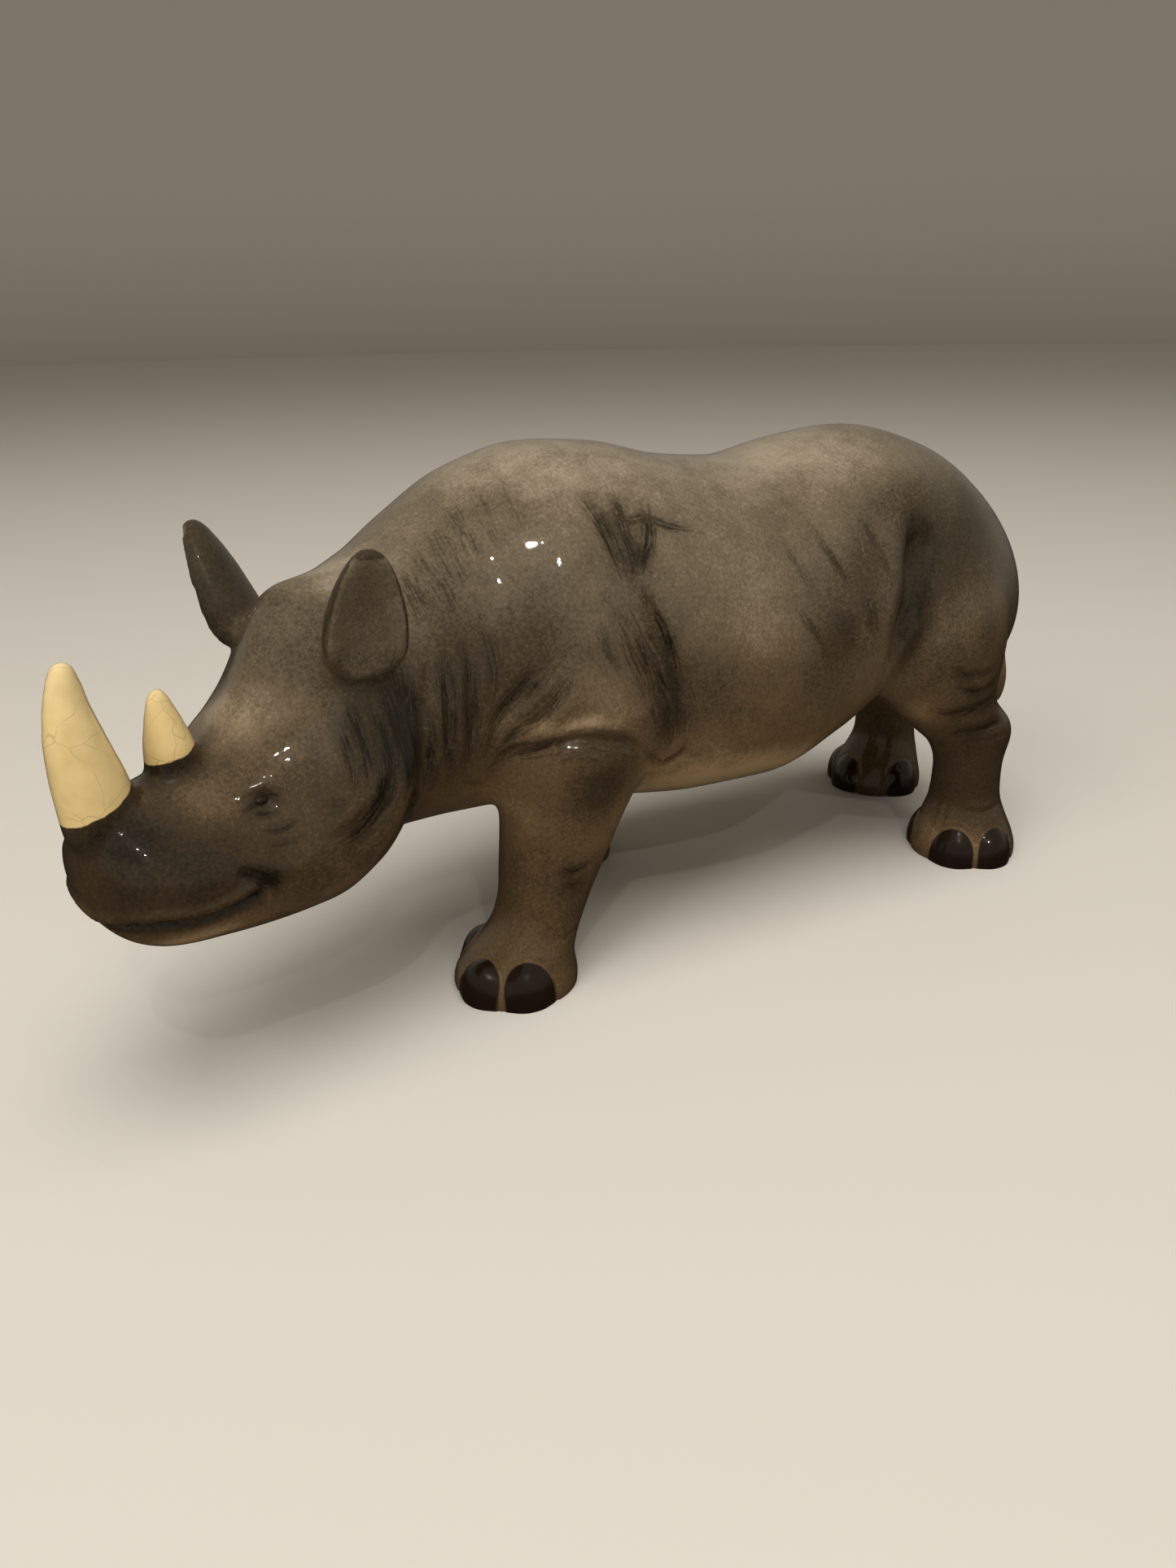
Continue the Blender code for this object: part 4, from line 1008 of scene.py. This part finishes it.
def cut_soles(mesh):
    """Cut the feet off flat at the ground and close them."""
    bm = bmesh.new()
    bm.from_mesh(mesh)
    geometry = bm.verts[:] + bm.edges[:] + bm.faces[:]
    cut = bmesh.ops.bisect_plane(bm, geom=geometry, dist=CUT_SLACK, plane_co=(0, 0, 0),
                                 plane_no=(0, 0, 1), clear_inner=True)
    rim = [item for item in cut["geom_cut"] if isinstance(item, bmesh.types.BMEdge)]
    bmesh.ops.holes_fill(bm, edges=rim, sides=0)
    bmesh.ops.triangulate(bm, faces=bm.faces)
    bmesh.ops.recalc_face_normals(bm, faces=bm.faces)
    bm.to_mesh(mesh)
    bm.free()


def spine_places(points):
    """Distance along the spine and distance to its left for each point."""
    distance = points[:, 0].copy()
    for _ in range(SPINE_ROUNDS):
        x, y, heading = (np.interp(distance, SPINE[0], column) for column in SPINE[1:])
        ahead = (points[:, 0] - x) * np.cos(heading) + (points[:, 1] - y) * np.sin(heading)
        distance += ahead
    left = (points[:, 1] - y) * np.cos(heading) - (points[:, 0] - x) * np.sin(heading)
    return distance, left


def paint_shade(points, normals, tree):
    """How dark the airbrush with its painted shade and highlights and the brush leave each point, light
    places being negative.
    """
    shade = np.zeros(len(points))
    for distance, height, along, up, amount in WASHES_AND_PAINTED_LIGHT:
        for side in (-1, 1):
            centre = on_skin(tree, distance, height, side)
            if centre is None:
                continue
            gap = points - np.array(centre)
            flat = np.hypot(gap[:, 0], gap[:, 1])
            shade += amount * np.exp(-(flat / along) ** 2 - (gap[:, 2] / up) ** 2)
    near, nearest, _, taper, _ = along_path(points, normals, mouth_path(tree), MOUTH_SHADE_REACH,
                                            MOUTH_TAPER)
    shade[near] += SHADE_BY_MOUTH * taper * np.exp(-(nearest / MOUTH_SHADE_WIDTH) ** 2)
    return shade


def brush_fields(points, normals, tree):
    """Strength of the brushed lines, some of them painted shade, and each point's place across and along
    its line.
    """
    strength = np.zeros(len(points))
    across = np.zeros(len(points))
    along = np.zeros(len(points))
    for number, (line, width, amount) in enumerate(BRUSHED_AND_PAINTED_SHADE):
        for side in (-1, 1):
            path = flank_path(tree, line, side)
            near, nearest, signed, taper, run = along_path(points, normals, path,
                                                           BRUSH_REACH * width)
            ink = amount * taper * np.exp(-(nearest / (BRUSH_SPREAD * width)) ** 2)
            stronger = ink > strength[near]
            chosen = near[stronger]
            strength[chosen] = ink[stronger]
            across[chosen] = signed[stronger]
            along[chosen] = run[stronger] + number * LENGTH_STEPS
    return strength, across, along


def horn_heights(points):
    """How far each point stands above the painted border of its horn."""
    distance, left = spine_places(points)
    best = np.full(len(points), -np.inf)
    for axis, border, slope, reach in HORN_BORDERS:
        above = points[:, 2] - (border + slope * (distance - axis))
        within = reach - np.hypot(distance - axis, left)
        best = np.maximum(best, np.minimum(above, within))
    return best


def ear_shares(points, normals):
    """How far each point lies up the nearer ear, and how far inside the rim of its dish."""
    up = np.full(len(points), -1.0)
    inside = np.full(len(points), -1.0)
    shares, halves = np.array(EAR_ROWS)[:, :2].T
    for side in (-1, 1):
        base, rise, front = ear_frame(side)
        wide = np.cross(rise, front) / np.linalg.norm(rise)
        offset = points - base
        share = offset @ rise / rise.dot(rise)
        off_axis = offset - share[:, None] * rise
        close = np.linalg.norm(off_axis, axis=1) < EAR_REACH
        close &= (share > shares[0]) & (share < EAR_TOP)
        across = np.abs(off_axis @ wide) / np.interp(share, shares, halves)
        from_edge = np.minimum(1 - across, np.minimum(share - shares[1], 1 - share) * EAR_ENDS)
        ahead = close & (normals @ front > 0)
        up[close] = share[close]
        inside[ahead] = from_edge[ahead]
    return up, inside


def add_field(mesh, name, values):
    """Store one number for each point, for the paint to read."""
    field = mesh.attributes.new(name, "FLOAT", "POINT")
    field.data.foreach_set("value", values.astype(np.float32))


def paint_fields(mesh, tree):
    """Store what the paint needs: washes with painted shade and highlights, brushed lines, horns, nails,
    ears and places.
    """
    points, normals = mesh_arrays(mesh)
    distance, _ = spine_places(points)
    up, inside = ear_shares(points, normals)
    strength, across, along = brush_fields(points, normals, tree)
    add_field(mesh, "shade", paint_shade(points, normals, tree))
    add_field(mesh, "brush", strength)
    add_field(mesh, "brush_across", across)
    add_field(mesh, "brush_along", along)
    add_field(mesh, "horn", horn_heights(points))
    add_field(mesh, "nail", NAIL_EDGE - nail_eggs(points))
    add_field(mesh, "ear", up)
    add_field(mesh, "along", distance / LENGTH_STEPS)
    add_field(mesh, "height", points[:, 2] / LENGTH_STEPS)
    add_field(mesh, "dish", inside)


def seated(middle):
    """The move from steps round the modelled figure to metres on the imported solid."""
    centre = (Vector(LOW) + Vector(HIGH)) / 2
    place = Matrix.Translation((centre.x, centre.y, LOW[2])) @ Matrix.Scale(STEP, 4)
    return place @ Matrix.Translation((-middle[0], -middle[1], 0.0))


def skin_piece():
    """The whole figure on its fine skin, with the two materials and the fields for the paint."""
    obj = put_in_scene("rhinoceros_glazed", rough_shells())
    fuse(obj, VOXEL)
    soften(obj.data)
    raise_swellings(obj.data)
    plain_skin = skin_tree(obj.data)
    carve_folds(obj.data, plain_skin)
    thin_out(obj, TRIANGLES)
    cut_soles(obj.data)
    mesh = obj.data
    paint_fields(mesh, plain_skin)
    points, _ = mesh_arrays(mesh)
    middle = (points.min(axis=0) + points.max(axis=0)) / 2
    mesh.materials.clear()
    mesh.materials.append(glazed_skin())
    mesh.materials.append(bare_clay())
    for face in mesh.polygons:
        if face.center.z < SOLE_HEIGHT and face.normal.z < SOLE_FACING:
            face.material_index = 1
    mesh.transform(seated(middle))
    mesh.shade_smooth()
    return obj, middle, plain_skin


def eye_piece(tree, side, middle):
    """A dark eyeball, set into its socket and a little longer than high."""
    place = Vector(on_skin(tree, *EYE_PLACE, side))
    heading = np.interp(EYE_PLACE[0], SPINE[0], SPINE[3])
    outward = Vector((-math.sin(heading) * side, math.cos(heading) * side, 0.0))
    centre = place - outward * (EYE_RADIUS - EYE_SHOWS + SOCKET_DEPTH)
    bm = bmesh.new()
    add_ball(bm, centre, [EYE_RADIUS * stretch for stretch in EYE_SHAPE], heading)
    mesh = bpy.data.meshes.new("eye")
    bm.to_mesh(mesh)
    bm.free()
    mesh.transform(seated(middle))
    mesh.shade_smooth()
    mesh.materials.append(eye_black())
    return put_in_scene("eye_left" if side > 0 else "eye_right", mesh)


def node(tree, kind, inputs=None, **settings):
    """Add a shader node, set it, and fill its inputs with values or other nodes' outputs."""
    made = tree.nodes.new(kind)
    for name, value in settings.items():
        setattr(made, name, value)
    for socket, value in (inputs or {}).items():
        if isinstance(value, bpy.types.NodeSocket):
            tree.links.new(value, made.inputs[socket])
        else:
            made.inputs[socket].default_value = value
    return made


def place_on_piece(tree):
    """The place on the piece, in metres from the frame's origin."""
    return node(tree, "ShaderNodeTexCoord").outputs["Object"]


def field(tree, name):
    """A number stored on the skin."""
    return node(tree, "ShaderNodeAttribute", attribute_name=name).outputs["Fac"]


def sums(tree, operation, first, second, third=0.0):
    """One sum of two or three numbers."""
    made = node(tree, "ShaderNodeMath", {0: first, 1: second, 2: third}, operation=operation)
    return made.outputs[0]


def times(tree, first, second):
    """Two numbers multiplied."""
    return sums(tree, "MULTIPLY", first, second)


def plus_share(tree, value, share, rest):
    """A share of a number, added to the rest."""
    return sums(tree, "MULTIPLY_ADD", value, share, rest)


def between(tree, value, low, high):
    """Nought at low and one at high, with a smooth rise between them."""
    made = node(tree, "ShaderNodeMapRange", {"Value": value, "From Min": low, "From Max": high},
                interpolation_type="SMOOTHSTEP")
    return made.outputs["Result"]


def grain(tree, where, scale, detail=2.0, roughness=0.5, distortion=0.0):
    """Noise of a given scale."""
    made = node(tree, "ShaderNodeTexNoise",
                {"Vector": where, "Scale": scale, "Detail": detail, "Roughness": roughness,
                 "Distortion": distortion})
    return made.outputs["Fac"]


def blend(tree, share, first, second):
    """A colour between two others."""
    made = node(tree, "ShaderNodeMix", {"Factor": share}, data_type="RGBA")
    for socket, colour in ((made.inputs[6], first), (made.inputs[7], second)):
        if isinstance(colour, bpy.types.NodeSocket):
            tree.links.new(colour, socket)
        else:
            socket.default_value = (*colour, 1.0)
    return made.outputs[2]


def ramp(tree, value, stops):
    """A colour read from a row of stops."""
    made = node(tree, "ShaderNodeValToRGB", {"Fac": value})
    while len(made.color_ramp.elements) < len(stops):
        made.color_ramp.elements.new(0.5)
    for element, (place, colour) in zip(made.color_ramp.elements, stops):
        element.position = place
        element.color = (*colour, 1.0)
    return made.outputs["Color"]


def crazing(tree, where, cell):
    """Fine cracks in the glaze: one on a crack and nought between them."""
    scale, detail = CRAZE_WANDER
    wander = node(tree, "ShaderNodeTexNoise", {"Vector": where, "Scale": scale / cell, "Detail": detail})
    moved = node(tree, "ShaderNodeVectorMath",
                 {0: wander.outputs["Color"], 1: (cell * CRAZE_SWAY,) * 3, 2: where},
                 operation="MULTIPLY_ADD")
    cells = node(tree, "ShaderNodeTexVoronoi", {"Vector": moved.outputs[0], "Scale": 1 / cell},
                 feature="DISTANCE_TO_EDGE")
    edge = between(tree, cells.outputs["Distance"], 0.0, CRAZE_LINE / cell)
    return sums(tree, "SUBTRACT", 1.0, edge)


def washed_and_painted_light(tree, cloud):
    """How much the washes, airbrush with painted shade and highlights, darken the skin, worn a little by
    the cloud.
    """
    worn = plus_share(tree, between(tree, cloud, *WASH_WORN), WASH_REST, WASH_LEAST)
    return times(tree, field(tree, "shade"), worn)


def brushed_and_painted_shade(tree):
    """How much the brushed lines, some of them painted shade, darken the skin, worn into streaks that
    run along each line.
    """
    place = node(tree, "ShaderNodeCombineXYZ",
                 {"X": times(tree, field(tree, "brush_across"), STREAK_FINE),
                  "Y": times(tree, field(tree, "brush_along"), STREAK_LONG)})
    streaks = between(tree, grain(tree, place.outputs[0], *STREAKS), *STREAK_WORN)
    return times(tree, field(tree, "brush"), plus_share(tree, streaks, STREAK_REST, STREAK_LEAST))


def skin_colour(tree, where, cloud, speckle, on_head, on_ear, in_dish):
    """Brown-grey body paint: the bare tone less all that darkens it, with three grains, turning grey
    upwards partly as a painted reflection.
    """
    shade = plus_share(tree, brushed_and_painted_shade(tree), STREAK_AMOUNT, washed_and_painted_light(tree, cloud))
    shade = plus_share(tree, on_head, HEAD_SHADE, shade)
    on_haunch = between(tree, field(tree, "along"), *HAUNCH_FADE)
    shade = plus_share(tree, on_haunch, HAUNCH_SHADE, shade)
    ear_shade = plus_share(tree, in_dish, DISH_LIGHT, EAR_SHADE)
    shade = plus_share(tree, on_ear, ear_shade, shade)
    tone = sums(tree, "SUBTRACT", BODY_TONE, shade)
    mottle = grain(tree, where, *MOTTLE)
    for noise, amount in ((mottle, MOTTLE_AMOUNT), (cloud, CLOUD_AMOUNT), (speckle, SPECKLE_AMOUNT)):
        tone = sums(tree, "ADD", tone, plus_share(tree, noise, amount, -amount / 2))
    # Greyer towards the top: partly the paint's own grey, partly a painted reflection of the pale room
    grey_reflection_share = between(tree, field(tree, "height"), *GREY_REFLECTION_FADE)
    return blend(tree, grey_reflection_share, ramp(tree, tone, BROWNS), ramp(tree, tone, GREYS_AND_REFLECTION))


def crazed_places(tree, where, on_head, on_ear, in_dish):
    """Where the glaze is crazed: patches on the trunk's upper part and the ears' hollows."""
    patches = between(tree, grain(tree, where, *CRAZED_PATCHES), *PATCH_FADE)
    patches = times(tree, patches, sums(tree, "SUBTRACT", 1.0, on_head))
    patches = times(tree, patches, between(tree, field(tree, "height"), *CRAZE_FADE))
    return sums(tree, "MAXIMUM", patches, times(tree, on_ear, in_dish))


def horn_colour(tree, height, cloud, cracks):
    """Cream that pales towards the tip, with brown stains and cracks."""
    horn = blend(tree, between(tree, height, *HORN_FADE), HORN_LOW, HORN_HIGH)
    stain = times(tree, between(tree, cloud, *STAIN_FADE), STAIN_SHARE)
    horn = blend(tree, stain, horn, HORN_STAIN)
    return blend(tree, times(tree, cracks, HORN_CRACK_SHARE), horn, HORN_CRACK)


def glaze_relief(tree, where, speckle, cracks, shader):
    """Fine waves in the glaze: deeper under the clear coat than on it."""
    waves = times(tree, grain(tree, where, *GLAZE_WAVES), WAVE_SHARE)
    relief = sums(tree, "ADD", waves, times(tree, speckle, SPECKLE_SHARE))
    relief = sums(tree, "SUBTRACT", relief, times(tree, cracks, CRACK_SHARE))
    for socket, depth in (("Normal", GLAZE_RELIEF), ("Coat Normal", COAT_RELIEF)):
        bump = node(tree, "ShaderNodeBump",
                    {"Height": relief, "Strength": RELIEF_STRENGTH, "Distance": depth})
        tree.links.new(bump.outputs["Normal"], shader.inputs[socket])


def new_material(name):
    """A new material with its node tree and its shader."""
    material = bpy.data.materials.new(name)
    material.use_nodes = True
    tree = material.node_tree
    return material, tree, tree.nodes["Principled BSDF"]


def glaze(shader):
    """Give the shader a clear gloss glaze over its body colour."""
    shader.inputs["Roughness"].default_value = GLAZE_ROUGHNESS
    shader.inputs["Specular IOR Level"].default_value = UNDERCOAT_GLOSS
    shader.inputs["Coat Weight"].default_value = 1.0
    shader.inputs["Coat Roughness"].default_value = COAT_ROUGHNESS
    shader.inputs["Coat IOR"].default_value = COAT_IOR


def glazed_skin():
    """Brown-grey airbrush with painted shade and highlights and a painted reflection greying its upper
    parts, with cream horns and dark nails under a clear crazed glaze.
    """
    material, tree, shader = new_material("glazed skin")
    where = place_on_piece(tree)
    cloud = grain(tree, where, *CLOUD)
    speckle = grain(tree, where, *SPECKLE)
    on_head = between(tree, field(tree, "along"), *HEAD_FADE)
    on_ear = between(tree, field(tree, "ear"), *EAR_FADE)
    in_dish = between(tree, field(tree, "dish"), *DISH_FADE)
    skin = skin_colour(tree, where, cloud, speckle, on_head, on_ear, in_dish)
    broken = between(tree, grain(tree, where, *CRACK_BREAKS), *BREAK_FADE)
    cracks = times(tree, crazing(tree, where, CRAZE_CELL), broken)
    cracks = times(tree, cracks, crazed_places(tree, where, on_head, on_ear, in_dish))
    cracks = times(tree, cracks, CRAZE_STRENGTH)
    colour = blend(tree, cracks, skin, CRAZE_PALE)
    on_nail = between(tree, field(tree, "nail"), *NAIL_BORDER)
    colour = blend(tree, on_nail, colour, blend(tree, cloud, NAIL_DARK, NAIL_BROWN))
    horn_height = field(tree, "horn")
    border = plus_share(tree, cloud, HORN_SWAY, -HORN_SWAY / 2)
    on_horn = between(tree, sums(tree, "ADD", horn_height, border), *HORN_BORDER)
    horn_cracks = times(tree, crazing(tree, where, HORN_CRAZE_CELL), broken)
    colour = blend(tree, on_horn, colour, horn_colour(tree, horn_height, cloud, horn_cracks))
    tree.links.new(colour, shader.inputs["Base Color"])
    glaze(shader)
    glaze_relief(tree, where, speckle, cracks, shader)
    return material


def bare_clay():
    """Unglazed cream clay, a little soiled, on the soles."""
    material, tree, shader = new_material("bare clay")
    soil = grain(tree, place_on_piece(tree), *SOIL)
    tree.links.new(blend(tree, soil, CLAY, CLAY_SOILED), shader.inputs["Base Color"])
    shader.inputs["Roughness"].default_value = CLAY_ROUGHNESS
    bump = node(tree, "ShaderNodeBump",
                {"Height": soil, "Strength": CLAY_STRENGTH, "Distance": CLAY_RELIEF})
    tree.links.new(bump.outputs["Normal"], shader.inputs["Normal"])
    return material


def eye_black():
    """Black-brown paint under the glaze."""
    material, tree, shader = new_material("eye black")
    cloud = grain(tree, place_on_piece(tree), *EYE_GRAIN)
    tree.links.new(blend(tree, cloud, EYE_DARK, EYE_BROWN), shader.inputs["Base Color"])
    glaze(shader)
    return material


def pale_floor():
    """A plain pale floor."""
    bm = bmesh.new()
    bmesh.ops.create_circle(bm, cap_ends=True, segments=FLOOR_SIDES, radius=FLOOR_RADIUS)
    mesh = bpy.data.meshes.new("floor")
    bm.to_mesh(mesh)
    bm.free()
    material, _, shader = new_material("pale floor")
    shader.inputs["Base Color"].default_value = (*FLOOR_COLOUR, 1.0)
    shader.inputs["Roughness"].default_value = FLOOR_ROUGHNESS
    mesh.materials.append(material)
    floor = put_in_scene("floor", mesh)
    floor.visible_glossy = False


def add_lamp(name, azimuth, elevation, distance, size, watts, colour, shows):
    """A square lamp that looks at the figure."""
    data = bpy.data.lights.new(name, "AREA")
    data.size = size
    data.energy = watts
    data.color = colour
    turn = math.radians(azimuth)
    lift = math.radians(elevation)
    away = Vector((math.cos(turn) * math.cos(lift), math.sin(turn) * math.cos(lift), math.sin(lift)))
    lamp = put_in_scene(name, data)
    lamp.visible_glossy = shows
    lamp.location = LAMP_AIM + away * distance
    lamp.rotation_euler = away.to_track_quat("Z", "Y").to_euler()


def studio():
    """Two soft lamps, two small warm bulbs for the glaze's highlights and a pale surround."""
    for lamp in LAMPS:
        add_lamp(*lamp)
    world = bpy.data.worlds.new("studio")
    world.use_nodes = True
    tree = world.node_tree
    direction = node(tree, "ShaderNodeTexCoord").outputs["Generated"]
    rise = node(tree, "ShaderNodeSeparateXYZ", {"Vector": direction}).outputs["Z"]
    surround = blend(tree, between(tree, rise, *SURROUND_FADE), SURROUND_BELOW, SURROUND_ABOVE)
    tree.links.new(surround, tree.nodes["Background"].inputs["Color"])
    tree.nodes["Background"].inputs["Strength"].default_value = SURROUND_STRENGTH
    bpy.context.scene.world = world
    bpy.context.scene.view_settings.view_transform = "Standard"


def add_camera(middle):
    """The photograph's viewpoint."""
    turn = math.radians(CAMERA_TURN)
    dip = math.radians(CAMERA_DIP)
    up = Vector((0.0, 0.0, 1.0))
    right = Vector((-math.cos(turn), math.sin(turn), 0.0))
    ahead = Vector((-math.sin(turn), -math.cos(turn), 0.0))
    lower = -math.sin(dip) * ahead - math.cos(dip) * up
    view = math.cos(dip) * ahead - math.sin(dip) * up
    level = math.sqrt(1 - CAMERA_ROLL ** 2)
    across = level * right + CAMERA_ROLL * lower
    upward = CAMERA_ROLL * right - level * lower
    data = bpy.data.cameras.new("camera")
    data.sensor_width = SENSOR
    data.lens = FOCAL_PIXELS * SENSOR / PHOTO_HEIGHT
    camera = put_in_scene("camera", data)
    camera.matrix_world = Matrix((across, upward, -view)).transposed().to_4x4()
    camera.location = seated(middle) @ Vector(CAMERA_PLACE)
    bpy.context.scene.camera = camera


def build():
    """Model, paint and seat the figure, then set up the studio."""
    skin, middle, tree = skin_piece()
    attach(skin, "root")
    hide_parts("rhinoceros")
    for side in (1, -1):
        eye = eye_piece(tree, side, middle)
        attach(eye, "root")
    pale_floor()
    studio()
    add_camera(middle)


build()
